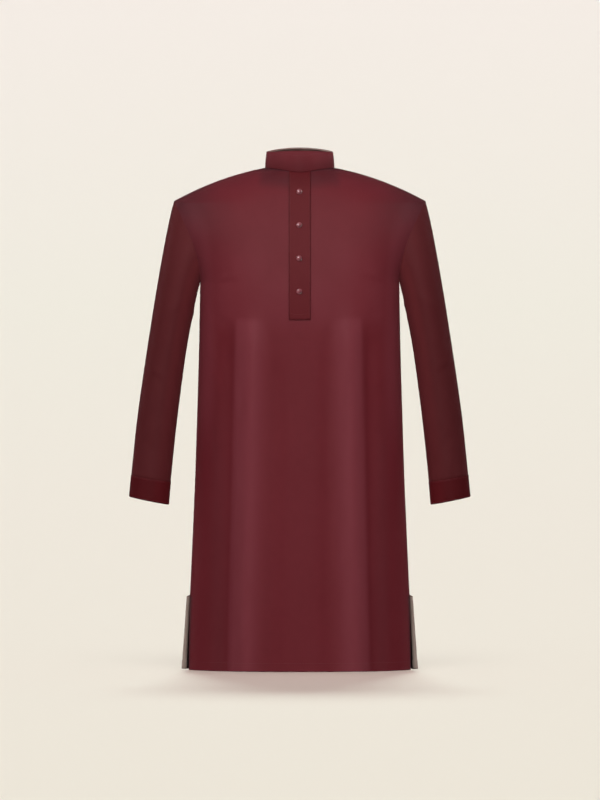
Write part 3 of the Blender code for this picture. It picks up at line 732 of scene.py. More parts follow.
placket = {
    "halfWidth": 0.0215,
    "endZ": -0.3025,
    "columns": 14,
    "thickness": 0.0013,
    "roundness": 0.4,
    "lift": 0.0004,
    "topShare": 0.9,  # of its first row, which the collar covers and the placket leaves out
    "inside": 0.6,  # painted shade on the inner wall and the borders
    "edge": 0.75,  # and painted shade along its sides, over this width
    "edgeWidth": 0.0009,
    "top": 0.34,  # and painted shadow under the collar, as (start, length) of its fade
    "topFall": (0.042, -0.02625),
    # and a painted shadow line close under the collar, this deep
    "seamDepth": 0.0024,
}
vent = {
    "topZ": -0.866,
    "step": 0.0015,
    "frontOpen": 0.040,
    "openPower": 0.5,
    "flareTop": 0.0060,
    "flareHem": 0.0088,
    "flangeTop": 0.0044,  # of the flare, the part that turns outwards
    "flangeHem": 0.0074,
    "edgeY": 0.0022,
    "legPlaces": (0.0, 0.3, 0.55, 0.8, 0.96, 1.0),  # from the section to the turn
    "flangePlaces": (0.2, 1.0),  # from the turn to the edge
    "facingColumns": 6,
    "facingThickness": 0.0008,
    "facingGap": 0.0003,
}


def panelTops(side):
    # the top edge of half a panel: the neckline from the middle out, then the shoulder seam
    edge = math.asin(placket["halfWidth"] / tunic["neckHalfWidth"])
    angles = np.concatenate([
        np.arcsin(np.linspace(0, math.sin(edge), placket["columns"] + 1)[:-1]),
        np.linspace(edge, math.pi / 2, panel["neckColumns"] + 1),
    ])
    part = np.sin(math.pi / 2 * np.arange(1, panel["shoulderColumns"] + 1) / panel["shoulderColumns"])
    x = tunic["neckHalfWidth"] + (tunic["shoulderTipX"] - tunic["neckHalfWidth"]) * part
    shoulder = np.stack([x, np.zeros_like(x), shoulderHeight(x)], axis=-1)
    return np.concatenate([neckLine(angles, side), shoulder])


def spreadColumns(topX, edgeX):
    # the columns under the placket keep their x, the others spread with the panel's width
    inside = placket["halfWidth"]
    share = (topX - inside) / (tunic["shoulderTipX"] - inside)
    return np.where(topX <= inside + 1e-9, topX, inside + (edgeX - inside) * share)


def rowHeights():
    ventTop, step = vent["topZ"], vent["step"]
    hemTop = tunic["hemZ"] + panel["hemWidth"] + panel["hemRowsAbove"]
    stops = (tunic["underarmZ"], placket["endZ"], ventTop + step, ventTop - step, hemTop, tunic["hemZ"])
    heights = []
    for high, low in zip(stops, stops[1:]):
        height = panel["hemRowHeight"] if low == tunic["hemZ"] else panel["rowHeight"]
        count = max(1, round((high - low) / height))
        heights.append(np.linspace(high, low, count + 1)[1:])
    return np.concatenate(heights)


def ventPart(z):
    # 0 above the vent, then up to 1 at the hem
    return np.maximum((vent["topZ"] - z) / (vent["topZ"] - tunic["hemZ"]), 0.0)


def ventWidth(part, edge):
    # of the back's flare or flange
    return vent[edge + "Top"] + (vent[edge + "Hem"] - vent[edge + "Top"]) * part


def sideEdge(z, side):
    width, down = widthAt(z, side), ventPart(z)
    if side == frontSide:
        forward = vent["frontOpen"] * down ** vent["openPower"]
        return width * sectionRest(forward / depthAt(z, side), squareness(z)), -forward
    return width + np.where(down > 0, ventWidth(down, "flare"), 0.0), np.where(down > 0, vent["edgeY"], 0.0)


def turnVentEdge(x, y, heights):
    # the back's edge runs straight forward from the section, then turns outwards as a narrow flange
    leg, flange = np.array(vent["legPlaces"]), np.array(vent["flangePlaces"])
    strip = slice(x.shape[1] - len(leg) - len(flange), None)
    down = ventPart(heights)[:, None]
    turnX = x[:, -1:] - ventWidth(down, "flange")
    for grid, turn in ((x, turnX), (y, y[:, -1:])):
        start, end = grid[:, strip][:, :1], grid[:, -1:]
        bent = np.concatenate([start + (turn - start) * leg, turn + (end - turn) * flange], axis=1)
        grid[:, strip] = np.where(down > 0, bent, grid[:, strip])


def halfPanel(side):
    tops = panelTops(side)
    angles = math.pi * np.linspace(0, 1, panel["shoulderRows"] + 1) ** tunic["rowCrowding"]
    part = ((1 - np.cos(angles)) / 2)[:, None]
    edgeX, _, edgeY = armholePoint(angles)
    topX = tops[None, :, 0]
    z = tops[None, :, 2] + (tunic["underarmZ"] - tops[None, :, 2]) * part
    x = spreadColumns(topX, edgeX[:, None])
    y = sectionY(x, z, side)
    y[0] = tops[:, 1]
    x[:, -1], y[:, -1] = edgeX, side * edgeY
    upper = np.stack([x, y, z], axis=-1)

    heights = rowHeights()
    edgeX, edgeY = sideEdge(heights, side)
    plainX = widthAt(heights, side) if side == backSide else edgeX
    x = spreadColumns(topX, plainX[:, None])
    z = np.repeat(heights[:, None], x.shape[1], axis=1)
    y = sectionY(x, z, side)
    x[:, -1], y[:, -1] = edgeX, edgeY
    if side == backSide:
        turnVentEdge(x, y, heights)
    return np.concatenate([upper, np.stack([x, y, z], axis=-1)])


def wholePanel(side):
    half = halfPanel(side)
    plain = np.concatenate([half[:, :0:-1] * (-1, 1, 1), half], axis=1)
    normals = gridNormals(plain, side)
    name = panelNames[side]
    x, z = plain[..., 0], plain[..., 2]
    fromSide = fromSides(plain)
    rest = ease(fromSide / panel["creaseRest"]) * ease(runLengths(plain, 0) / panel["creaseRest"])
    lift = foldHeight(x, z, folds[name]) + creaseHeight(x, z, creases[name]) * rest
    lift[:, [0, -1]] = 0.0
    points = plain + normals * lift[..., None]
    normals = gridNormals(points, side)
    # on the shoulder and side seams both panels share a normal
    seams = np.abs(points[..., 1]) < 1e-9
    normals[seams] = unit(normals[seams] * (1, 0, 1))
    return points, normals, fromSide


def panelThickness(points):
    hem = rise(points[..., 2], tunic["hemZ"] + panel["hemWidth"], -panel["hemStep"])
    return panel["thickness"] + (panel["hemThickness"] - panel["thickness"]) * hem


def shoulderPart(x, fall):
    return rise(fall, *shade["shoulderFall"]) * rise(x, *shade["shoulderAcross"])


# painted shade on the front: beside the armholes and the folds, along the shoulder seams, under the collar
# and along the vents
def frontShade(points, fromSide):
    x, z = np.abs(points[..., 0]), points[..., 2]
    fall = z[0] - z
    beside = shade["arm"] * rise(fromSide, *shade["armAcross"]) * rise(z, *shade["armUp"])
    beside += shade["fold"] * near(x - shade["foldX"], shade["foldWidth"]) * rise(z, *shade["foldDown"])
    beside = np.maximum(beside, shade["shoulder"] * shoulderPart(x, fall))
    under = shade["neck"] * rise(fall, *shade["neckFall"]) * rise(x, *shade["neckAcross"])
    line = np.where(x[0] < tunic["neckHalfWidth"] + shade["neckPast"], near(fall, shade["neckLine"]), 0.0)
    part = ventPart(z)
    border = ease(1 - (x[:, -1:] - x) / (shade["ventWidth"] * (1 - shade["ventLoss"] * part)))
    return np.max([beside, under, line, np.where(part > 0, shade["vent"] * border, 0.0)], axis=0)


# painted highlight: along the fold crests, towards the side seams, and on the front over the chest and along
# the shoulders
def paleness(points, name):
    x, z = points[..., 0], points[..., 2]
    reach = np.abs(x) / np.abs(x[:, -1:])
    side = crests["sideMost"] * rise(reach, *crests["sideAcross"]) * rise(z, *crests["sideUp"])
    pale = np.maximum(crestAmount(x, z, crests[name]), side)
    if name == "front":
        wide = np.maximum(rise(reach, *crests["chestAcross"]), rise(z, *crests["chestDown"]))
        wide = wide * (1 - crests["chestTopLoss"] * rise(z, *crests["chestTop"]))
        chest = crests["chestMost"] * wide * rise(z, *crests["chestUp"])
        shoulder = shade["shoulderPale"] * shoulderPart(np.abs(x), z[0] - z)
        pale = np.max([pale, chest, shoulder], axis=0)
    return pale


def makePanel(side, *nodes):
    points, normals, fromSide = surfaces[side]
    name = panelNames[side]
    piece = clothShell("cloth" + name.capitalize(), points, normals, panelThickness(points))
    vented = points[..., 2] < vent["topZ"]
    rubBorders(piece, np.minimum(points[..., 2] - tunic["hemZ"], np.where(vented, fromSide, 1.0)))
    # painted highlight on both panels, and painted shade on the front
    maskWalls(piece, "paintedLightMask", paleness(points, name))
    if side == frontSide:
        maskWalls(piece, "paintedShadeMask", frontShade(points, fromSide))
    dress(piece, "bodyCloth", "cloth", *nodes)


surfaces = {side: wholePanel(side) for side in (frontSide, backSide)}
makePanel(frontSide, "front_chest_left", "front_chest_right", "front_waist", "front_skirt")
makePanel(backSide, "back_shoulders", "back_waist", "back_skirt")
print("front and back made")


# Sleeves and cuffs

sleeve = {
    # height, distance from the middle: outer line and inner line
    "outer": (
        (shoulderTipZ, 0.2545), (-0.091, 0.2606), (-0.130, 0.2690), (-0.176, 0.2777), (-0.241, 0.2890),
        (-0.328, 0.3030), (-0.419, 0.3168), (-0.510, 0.3294), (-0.601, 0.3390), (-0.664, 0.3452),
    ),
    "inner": (
        (-0.231, 0.2014), (-0.257, 0.2080), (-0.298, 0.2162), (-0.358, 0.2275),
        (-0.449, 0.2404), (-0.540, 0.2515), (-0.636, 0.2612), (-0.680, 0.2650),
    ),
    # part of the length, half depth, how far the middle swings forward
    "depth": (
        (0.00, 0.0690, 0.000), (0.15, 0.0680, 0.000), (0.35, 0.0635, 0.001), (0.60, 0.0550, 0.005),
        (0.85, 0.0475, 0.012), (1.00, 0.0440, 0.016), (1.08, 0.0435, 0.018),
    ),
    "head": 0.3,
    "innerPower": 1.4,
    "endOuterZ": -0.6214,
    "endInnerZ": -0.6355,
    "rows": 120,
    "rowCrowding": 1.2,
    "thickness": 0.0010,
    "halfColumns": 48,
    # painted highlight, as how much paler it is on the side that lies to the body,
    # the part of that which is lost towards its end, and how much paler it is at the shoulder
    "pale": (1.0, 0.75, 0.4),
    "paleRound": (-0.05, -0.5),  # (start, length) of the fades, by the cosine of the way round
    "paleDown": (0.7, -0.7),  # and by the part of the length
    # the other sleeve creases at its own heights
    "otherScale": (0.92, 1.0, 0.95, 1.0, 1.0, 1.0, 0.9),
    "otherShift": (0.0, 0.014, 0.0, 0.018, 0.0, 0.0, 0.0),
}
cuff = {
    "endOuterZ": -0.6639,
    "endInnerZ": -0.6800,
    "part": 0.08,
    "rows": 24,
    "lift": 0.0005,
    "thickness": 0.0020,
    # painted highlight, as for the sleeve
    "pale": (0.4, 0.0, 0.0),
}


def ringAngles():
    front = math.pi * np.linspace(0, 1, sleeve["halfColumns"] + 1) ** tunic["rowCrowding"]
    return np.concatenate([front, 2 * math.pi - front[-2:0:-1]])


def rings(part, outerZ, innerZ):
    angles = ringAngles()[None, :]
    zero = np.zeros_like(part)
    outer = np.stack([smooth(sleeve["outer"], outerZ), zero, outerZ], axis=-1)
    inner = np.stack([smooth(sleeve["inner"], innerZ), zero, innerZ], axis=-1)
    middle = (outer + inner) / 2
    middle[:, 1] -= smooth(sleeve["depth"], part, 2)
    across = (outer - inner) / 2
    depth = smooth(sleeve["depth"], part, 1)
    points = middle[:, None] + across[:, None] * np.cos(angles)[..., None]
    points[..., 1] -= depth[:, None] * np.sin(angles)
    return points


def sleeveSurface(creaseRows):
    part = np.linspace(0, 1, sleeve["rows"] + 1) ** sleeve["rowCrowding"]
    outerZ = shoulderTipZ + (sleeve["endOuterZ"] - shoulderTipZ) * part
    innerZ = tunic["underarmZ"] + (sleeve["endInnerZ"] - tunic["underarmZ"]) * part ** sleeve["innerPower"]
    points = rings(part, outerZ, innerZ)
    # the armhole's own curve fades into plain rings
    angles = ringAngles()
    straight = tunic["shoulderTipX"] + (tunic["underarmX"] - tunic["shoulderTipX"]) * (1 - np.cos(angles)) / 2
    swing = armholePoint(angles)[0] - straight
    fade = np.maximum(0.0, 1 - part / sleeve["head"]) ** 2
    points[..., 0] += swing * fade[:, None]
    normals = tubeNormals(points, 1)
    radius = runLengths(points, 1)[:, -1:] / (2 * math.pi)
    across = ((math.pi / 2 - angles + math.pi) % (2 * math.pi) - math.pi) * radius
    down = shoulderTipZ - points[..., 2]
    rest = ease(runLengths(points, 0) / panel["creaseRest"])
    points = points + normals * (creaseHeight(across, down, creaseRows) * rest)[..., None]
    return points, tubeNormals(points, 1)


def cuffSurface():
    share = np.linspace(0, 1, cuff["rows"] + 1)
    outerZ = sleeve["endOuterZ"] + (cuff["endOuterZ"] - sleeve["endOuterZ"]) * share
    innerZ = sleeve["endInnerZ"] + (cuff["endInnerZ"] - sleeve["endInnerZ"]) * share
    points = rings(1 + cuff["part"] * share, outerZ, innerZ)
    normals = tubeNormals(points, 1)
    return points + normals * cuff["lift"], normals


# painted highlight on a sleeve or cuff: on the side that lies to the body, and at the shoulder
def sleevePaleness(shape, most, loss, top):
    part = np.linspace(0, 1, shape[0])[:, None]
    inward = rise(np.cos(ringAngles())[None, :], *sleeve["paleRound"])
    return np.maximum(most * (1 - loss * part) * inward, top * rise(part, *sleeve["paleDown"]))


def makeSleeve(side, flip):
    turn = np.array((flip, 1, 1))
    rows = np.array(creases["sleeve"])
    if flip < 0:
        rows = rows * sleeve["otherScale"] + sleeve["otherShift"]
    points, normals = sleeveSurface(rows)
    cloth = clothShell(f"cloth{side}Sleeve", points * turn, normals * turn, sleeve["thickness"], closed=True)
    rubBorders(cloth, np.full(points.shape[:2], 1.0))
    # painted highlight on the side towards the body and at the shoulder
    maskWalls(cloth, "paintedLightMask", sleevePaleness(points.shape, *sleeve["pale"]))
    dress(cloth, "sleeveCloth", "cloth", f"sleeve_{side.lower()}")
    points, normals = cuffSurface()
    band = clothShell(f"cloth{side}Cuff", points * turn, normals * turn, cuff["thickness"], closed=True)
    rubBorders(band, np.minimum(runLengths(points, 0), fromBottom(points)))
    # painted highlight on the cuff's side towards the body
    maskWalls(band, "paintedLightMask", sleevePaleness(points.shape, *cuff["pale"]))
    dress(band, "cuffCloth", "trim_cloth", f"cuff_{side.lower()}")


for side, flip in wearerSides:
    makeSleeve(side, flip)
print("sleeves and cuffs made")


# Collar

collar = {
    "narrowing": 0.0027,
    "frontHeight": 0.0368,
    "sideHeight": 0.0325,
    "backHeight": 0.0385,
    "bow": 0.0006,
    "rows": 26,
    "halfColumns": 72,
    "thickness": 0.0016,
    "roundness": 0.5,  # how far its borders bulge, as a part of the thickness
    "facingThickness": 0.0009,
    "facingGap": 0.0003,
    "facingFoot": 0.13,  # the facing starts this part of the way up
    "facingDrop": 0.0004,
    # a painted shade line along the band's foot, this wide
    "seamWidth": 0.0020,
    "foot": 0.46,  # painted shade, deeper towards the band's foot by this much
    "top": 0.55,  # and a painted shade line at its folded top edge by this much
    "topWidth": 0.0010,
    "rim": (0.0001, 0.0012),  # the facing stays pale above this, then painted shade deepens over this much
    "rightPale": 0.55,  # painted highlight on the band towards the wearer's right, and left
    "leftPale": 0.85,
    "paleAcross": (0.1, 0.6),
}


def collarRing():
    angles = np.linspace(-math.pi / 2, math.pi / 2, collar["halfColumns"] + 1)
    halves = []
    for side in (frontSide, backSide):
        line = neckLine(np.abs(angles), side)
        line[:, 0] *= np.where(angles < 0, -1, 1)
        halves.append(line)
    return np.concatenate([halves[0], halves[1][-2:0:-1]])


def collarSurface():
    line = collarRing()
    radial = unit(line * (1 / tunic["neckHalfWidth"]**2, 1 / tunic["neckFrontDepth"]**2, 0))
    across = np.minimum(np.abs(line[:, 0]) / tunic["neckHalfWidth"], 1.0)
    middle = np.where(line[:, 1] < 0, collar["frontHeight"], collar["backHeight"])
    top = line.copy()
    top[:, 2] = middle + (collar["sideHeight"] - middle) * across**2
    top *= (1 - collar["narrowing"] / tunic["neckHalfWidth"],) * 2 + (1,)
    part = np.linspace(0, 1, collar["rows"] + 1)[:, None, None]
    points = line + (top - line) * part + radial * collar["bow"] * np.sin(math.pi * part)
    return points, tubeNormals(points, 1)


def makeCollar():
    points, normals = collarSurface()
    bulge = collar["roundness"]
    band = clothShell("clothCollar", points, normals, collar["thickness"], closed=True, roundness=bulge)
    up, down = runLengths(points, 0), fromBottom(points)
    rubBorders(band, down)
    # painted shade: a line along the foot, deeper towards the foot, and a line at the top edge
    line = near(up, collar["seamWidth"]) + collar["top"] * near(down, collar["topWidth"])
    maskWalls(band, "paintedShadeMask", np.maximum(line, collar["foot"] * ease(1 - up / up[-1:])))
    # painted highlight on the band's sides
    out = np.abs(points[..., 0]) / np.abs(points[..., 0]).max(axis=1, keepdims=True)
    most = np.where(points[..., 0] < 0, collar["rightPale"], collar["leftPale"])
    maskWalls(band, "paintedLightMask", most * rise(out, *collar["paleAcross"]))
    dress(band, "collarCloth", "trim_cloth", "collar_band")
    # the facing lies on the band's inner face
    first = round(collar["facingFoot"] * collar["rows"])
    inner = (points - normals * (collar["thickness"] + collar["facingGap"]))[first:]
    inner[-1, :, 2] -= collar["facingDrop"]
    thickness = collar["facingThickness"]
    facing = clothShell("clothCollarFacing", inner, normals[first:], thickness, closed=True, roundness=bulge)
    rubBorders(facing, fromBottom(inner))
    # painted shade on the facing below its rim
    depth = rise(fromBottom(inner), *collar["rim"])
    maskWalls(facing, "paintedShadeMask", depth, depth)
    dress(facing, "facingCloth", "facing_cloth", "collar_facing")


makeCollar()
print("collar made")


# Placket and vent facings

def placketSurface():
    points, normals, _ = surfaces[frontSide]
    middle = points.shape[1] // 2
    across = slice(middle - placket["columns"], middle + placket["columns"] + 1)
    rows = int(np.sum(points[:, middle, 2] >= placket["endZ"] - 1e-6))
    points, normals = points[:rows, across].copy(), normals[:rows, across]
    points[0] += (points[1] - points[0]) * placket["topShare"]
    return points + normals * (placket["lift"] + placket["thickness"]), normals


def makePlacket():
    points, normals = placketSurface()
    strip = clothShell("clothPlacket", points, normals, placket["thickness"], roundness=placket["roundness"])
    rubBorders(strip, np.minimum(fromSides(points), fromBottom(points)))
    # painted shade along the sides, on the inner wall and the borders, and painted shadow under the collar
    fall = points[0, :, 2] - points[..., 2]
    edge = placket["edge"] * near(fromSides(points), placket["edgeWidth"])
    top = np.maximum(near(fall, placket["seamDepth"]), placket["top"] * rise(fall, *placket["topFall"]))
    maskWalls(strip, "paintedShadeMask", np.maximum(edge, top), placket["inside"], placket["inside"])
    dress(strip, "placketCloth", "trim_cloth", "placket")


def makeVentFacing(side, flip):
    points, normals, _ = surfaces[backSide]
    below = points[:, -1, 2] < vent["topZ"]
    strip = slice(points.shape[1] - vent["facingColumns"], None)
    points, normals = points[below][:, strip], normals[below][:, strip]
    gap = panelThickness(points)[..., None] + vent["facingGap"]
    turn = np.array((flip, 1, 1))
    laid = (points - normals * gap) * turn
    facing = clothShell(f"clothVent{side}Facing", laid, normals * turn, vent["facingThickness"])
    across = runLengths(points, 1)
    rubBorders(facing, across[:, -1:] - across)
    # painted shade on all but the part that turns outwards
    ventShade = np.zeros(points.shape[:2])
    ventShade[:, :-len(vent["flangePlaces"]) - 1] = shade["vent"]
    maskWalls(facing, "paintedShadeMask", ventShade, ventShade)
    dress(facing, "facingCloth", "facing_cloth", f"vent_facing_{side.lower()}")


makePlacket()
for side, flip in wearerSides:
    makeVentFacing(side, flip)
print("placket and vent facings made")


# Buttons

button = {
    "count": 4,
    "topZ": -0.0445,
    "pitch": 0.0668,
    "radius": 0.0056,
    "height": 0.0038,
    "aside": -0.0010,
    "roundness": 0.00025,
    "roundSteps": 2,
    "rimHeight": 0.45,  # parts of the height and of the radius from here on
    "rimInset": 0.10,
    "grooveInset": 0.05,
    "groove": 0.06,
    "domeSteps": ((0.10, 0.30), (0.22, 0.20), (0.30, 0.12)),
    "shankRadius": 0.30,
    "shankLength": 0.0009,
    "sides": 40,
    "flat": 0.9,  # a face looks straight up or down where its normal does so by more than this
}


def pickEnd(made, up):
    # selects the faces that look straight up (1) or down (-1)
    shape = bmesh.from_edit_mesh(made.data)
    for face in shape.faces:
        face.select_set(face.normal.z * up > button["flat"])
    bmesh.update_edit_mesh(made.data)


def makeButton():
    radius, height = button["radius"], button["height"]
    bpy.ops.object.select_all(action="DESELECT")
    bpy.ops.mesh.primitive_cylinder_add(
        vertices=button["sides"], radius=radius, depth=button["rimHeight"] * height,
        location=(0, 0, button["rimHeight"] * height / 2),
    )
    made = bpy.context.active_object
    made.name = "button1"
    bpy.ops.object.mode_set(mode="EDIT")
    bpy.ops.mesh.select_mode(type="FACE")
    # a raised rim, a fine groove inside it, then the dome
    pickEnd(made, 1)
    bpy.ops.mesh.inset(thickness=button["rimInset"] * radius)
    bpy.ops.mesh.inset(thickness=button["grooveInset"] * radius, depth=-button["groove"] * height)
    for inset, step in button["domeSteps"]:
        bpy.ops.mesh.inset(thickness=inset * radius, depth=step * height)
    # the shank goes down into the cloth
    pickEnd(made, -1)
    bpy.ops.mesh.inset(thickness=(1 - button["shankRadius"]) * radius)
    bpy.ops.mesh.extrude_region_move(TRANSFORM_OT_translate={"value": (0, 0, -button["shankLength"])})
    bpy.ops.object.mode_set(mode="OBJECT")
    bevel = made.modifiers.new("roundedRim", "BEVEL")
    bevel.width = button["roundness"]
    bevel.segments = button["roundSteps"]
    bevel.limit_method = "ANGLE"
    smoothing = made.modifiers.new("smoothing", "SUBSURF")
    smoothing.levels = smoothing.render_levels = 1
    for modifier in (bevel.name, smoothing.name):
        bpy.ops.object.modifier_apply(modifier=modifier)
    bpy.ops.object.shade_smooth()
    return made


def seatButton(made, z):
    # turned to the placket's face and set down on it
    points, normals = placketSurface()
    middle = points.shape[1] // 2
    heights = points[::-1, middle, 2]
    seat, out = (readAlong(z, heights, grid[::-1, middle]).tolist() for grid in (points, normals))
    bpy.ops.object.select_all(action="DESELECT")
    made.select_set(True)
    bpy.context.view_layer.objects.active = made
    bpy.ops.object.mode_set(mode="EDIT")
    bpy.ops.mesh.select_all(action="SELECT")
    tilt = math.atan2(out[1], out[2])  # the operator turns clockwise
    bpy.ops.transform.rotate(value=tilt, orient_axis="X", center_override=(0, 0, 0))
    bpy.ops.transform.translate(value=(seat[0] + button["aside"], seat[1], seat[2]))
    bpy.ops.object.mode_set(mode="OBJECT")


def makeButtons():
    placed = [makeButton()]
    for i in range(1, button["count"]):
        made = placed[0].copy()
        made.data = placed[0].data.copy()
        made.name = f"button{i + 1}"
        bpy.context.scene.collection.objects.link(made)
        placed.append(made)
    for i, made in enumerate(placed):
        seatButton(made, button["topZ"] - i * button["pitch"])
        dress(made, "button", "button", f"button_{i + 1}")


makeButtons()
print("buttons made")


# Stitches

stitch = {
    "length": 0.0024,
    "gap": 0.0010,
    "radius": 0.00022,
    "sides": 5,
    # part of the length, then of the radius: width and height over the cloth
    "profile": ((0.0, 0.0, -0.6), (0.12, 0.75, 0.2), (0.5, 1.0, 0.55), (0.88, 0.75, 0.2), (1.0, 0.0, -0.6)),
    "hemUp": 0.0165,
    "ventIn": 0.0065,
    "placketIn": 0.0022,
    "placketBox": 0.0120,
    "collarIn": 0.0022,
    "cuffIn": 0.0022,
}


def stitchLine(points, normals):
    # short threads laid end to end along a line of the cloth, dipping in at both ends
    run = np.concatenate([[0], np.cumsum(np.linalg.norm(np.diff(points, axis=0), axis=1))])
    pitch = stitch["length"] + stitch["gap"]
    count = max(1, int((run[-1] - stitch["gap"]) / pitch))
    starts = (run[-1] - count * pitch + stitch["gap"]) / 2 + pitch * np.arange(count)
    shares, widths, heights = np.array(stitch["profile"]).T
    spots = starts[:, None] + stitch["length"] * shares
    line, out = readAlong(spots, run, points), unit(readAlong(spots, run, normals))
    aside = unit(np.cross(unit(line[:, -1:] - line[:, :1]), out))
    line = line + out * (stitch["radius"] * heights)[:, None]
    sides = stitch["sides"]
    turns = (2 * math.pi * np.arange(sides) / sides)[:, None]
    inner = slice(1, -1)
    spokes = aside[:, :1, None] * np.cos(turns) + out[:, inner, None] * np.sin(turns)
    loops = line[:, inner, None] + (stitch["radius"] * widths[inner])[:, None, None] * spokes
    vertices = np.concatenate([loops.reshape(count, -1, 3), line[:, :1], line[:, -1:]], axis=1)
    rows = len(shares) - 2
    faces = []
    for k in range(sides):
        n = (k + 1) % sides
        faces.append((rows * sides, n, k))
        for r in range(0, (rows - 1) * sides, sides):
            faces.append((r + k, r + n, r + sides + n, r + sides + k))
        faces.append(((rows - 1) * sides + k, (rows - 1) * sides + n, rows * sides + 1))
    starts = range(0, vertices.shape[1] * count, vertices.shape[1])
    faces = [tuple(corner + start for corner in face) for start in starts for face in faces]
    return vertices.reshape(-1, 3), faces


def stitchPiece(name, slot, lines):
    vertices, faces, start = [], [], 0
    for points, normals in lines:
        spots, corners = stitchLine(points, normals)
        vertices.append(spots)
        faces += [tuple(corner + start for corner in face) for face in corners]
        start += len(spots)
    piece = meshObject(name, np.concatenate(vertices), faces)
    turnOut(piece)
    dress(piece, "thread", slot)


def lineAt(points, normals, run, distance, axis):
    # a line across a grid (axis 0) or down it (axis 1), at one distance run from its start
    picks = [(slice(None), i) if axis == 0 else (i, slice(None)) for i in range(points.shape[1 - axis])]
    line, out = ([readAlong(distance, run[pick], grid[pick]) for pick in picks] for grid in (points, normals))
    return np.array(line), unit(out)


def sideLines(points, normals, distance):
    # down a grid, in from each of its sides
    grids = ((points, normals), (points[:, ::-1], normals[:, ::-1]))
    return [lineAt(*grid, runLengths(grid[0], 1), distance, 1) for grid in grids]


def ringLines(points, normals, distance, turn=1):
    # round a tube, in from each of its ends
    down = runLengths(points, 0)
    places = (distance, float(down[-1].mean()) - distance)
    lines = [lineAt(points, normals, down, place, 0) for place in places]
    return [[np.concatenate([part, part[:1]]) * turn for part in line] for line in lines]


def makeStitches():
    for side, (points, normals, _) in surfaces.items():
        hem = tunic["hemZ"] + stitch["hemUp"]
        lines = [lineAt(points, normals, -points[..., 2], -hem, 0)]
        vented = (points[:, 0, 2] < vent["topZ"]) & (points[:, 0, 2] >= hem)
        lines += sideLines(points[vented], normals[vented], stitch["ventIn"])
        stitchPiece(f"stitches{panelNames[side].capitalize()}Hem", "cloth", lines)
    points, normals = placketSurface()
    lines = sideLines(points, normals, stitch["placketIn"])
    down = runLengths(points, 0)
    for up in (stitch["placketIn"], stitch["placketBox"]):
        line, out = lineAt(points, normals, down, float(down[-1].mean()) - up, 0)
        lines.append((line[1:-1], out[1:-1]))
    stitchPiece("stitchesPlacket", "trim_cloth", lines)
    stitchPiece("stitchesCollar", "trim_cloth", ringLines(*collarSurface(), stitch["collarIn"]))
    for side, flip in wearerSides:
        lines = ringLines(*cuffSurface(), stitch["cuffIn"], np.array((flip, 1, 1)))
        stitchPiece(f"stitches{side}Cuff", "trim_cloth", lines)


makeStitches()
print("stitches made")


# Studio

studio = {
    "elevation": math.radians(2.3),
    "distance": 14.0,
    "farthest": 200.0,  # that the camera sees
    "viewHeight": 1.619,
    "aimX": 0.0005,
    "aimUp": -0.4696,  # along the camera's own upright
    "floorZ": -1.0185,
    "floorSize": 90.0,
    # paper colour at these distances behind the tunic, paler further back: a painted fall-off of the light
    "paper": (
        (-8.5, (0.838, 0.783, 0.680)), (8.5, (0.855, 0.799, 0.708)),
        (18.5, (0.863, 0.823, 0.730)), (33.5, (0.905, 0.838, 0.776)),
    ),
    "worldColour": (1.0, 0.98, 0.96),
    "worldStrength": 0.12,
}


def makePaper():
    paper, tree, surface = newMaterial("floorPaper")
    split = addNode(tree, "ShaderNodeSeparateXYZ", (-900, 0), {0: onPiece(tree, (-1100, 0))})
    closest, far = studio["paper"][0][0], studio["paper"][-1][0]
    reach = spread(tree, (-700, 0), split["Y"], closest, far, 0.0, 1.0)
    ramp = tree.nodes.new("ShaderNodeValToRGB")
    ramp.location = (-450, 0)
    stops = ramp.color_ramp.elements
    while len(stops) < len(studio["paper"]):
        stops.new(0.5)
    for stop, (distance, _) in zip(stops, studio["paper"]):
        stop.position = (distance - closest) / (far - closest)
    for stop, (_, tint) in zip(stops, studio["paper"]):
        stop.color = colour(tint)
    feed(tree, ramp.inputs, {"Fac": reach})
    feed(tree, surface, {"Base Color": ramp.outputs["Color"], "Roughness": 1.0, "Specular IOR Level": 0.0})
    return paper


def makeFloor():
    bpy.ops.object.select_all(action="DESELECT")
    bpy.ops.mesh.primitive_plane_add(size=studio["floorSize"], location=(0, 0, studio["floorZ"]))
    floor = bpy.context.active_object
    floor.name = "floor"
    floor.data.materials.append(makePaper())
    # the pale paper throws no light back up at the cloth
    floor.visible_diffuse = False
    floor.visible_glossy = False
    return floor


def makeRoom():
    world = bpy.data.worlds.new("studio")
    world.use_nodes = True
    tree = world.node_tree
    sky = tree.nodes["Background"]
    feed(tree, sky.inputs, {"Color": colour(studio["worldColour"]), "Strength": studio["worldStrength"]})
    # past the floor's edge the room looks as pale as the paper
    wall = addNode(tree, "ShaderNodeBackground", (-200, -200), {"Color": colour(studio["paper"][0][1])})
    seen = addNode(tree, "ShaderNodeLightPath", (-400, 200), {})
    feeds = {"Fac": seen["Is Camera Ray"], 1: sky.outputs[0], 2: wall[0]}
    mix = addNode(tree, "ShaderNodeMixShader", (100, 0), feeds)
    feed(tree, tree.nodes["World Output"].inputs, {"Surface": mix[0]})
    bpy.context.scene.world = world
    world.cycles_visibility.glossy = False


def makeCamera():
    camera = bpy.data.cameras.new("camera")
    camera.type = "ORTHO"
    camera.ortho_scale = studio["viewHeight"]
    camera.clip_end = studio["farthest"]
    eye = newObject("camera", camera)
    up, away = studio["elevation"], studio["distance"]
    aimZ = studio["aimUp"] / math.cos(up)
    eye.location = (studio["aimX"], -away * math.cos(up), aimZ + away * math.sin(up))
    eye.rotation_euler = (math.pi / 2 - up, 0, 0)
    bpy.context.scene.camera = eye


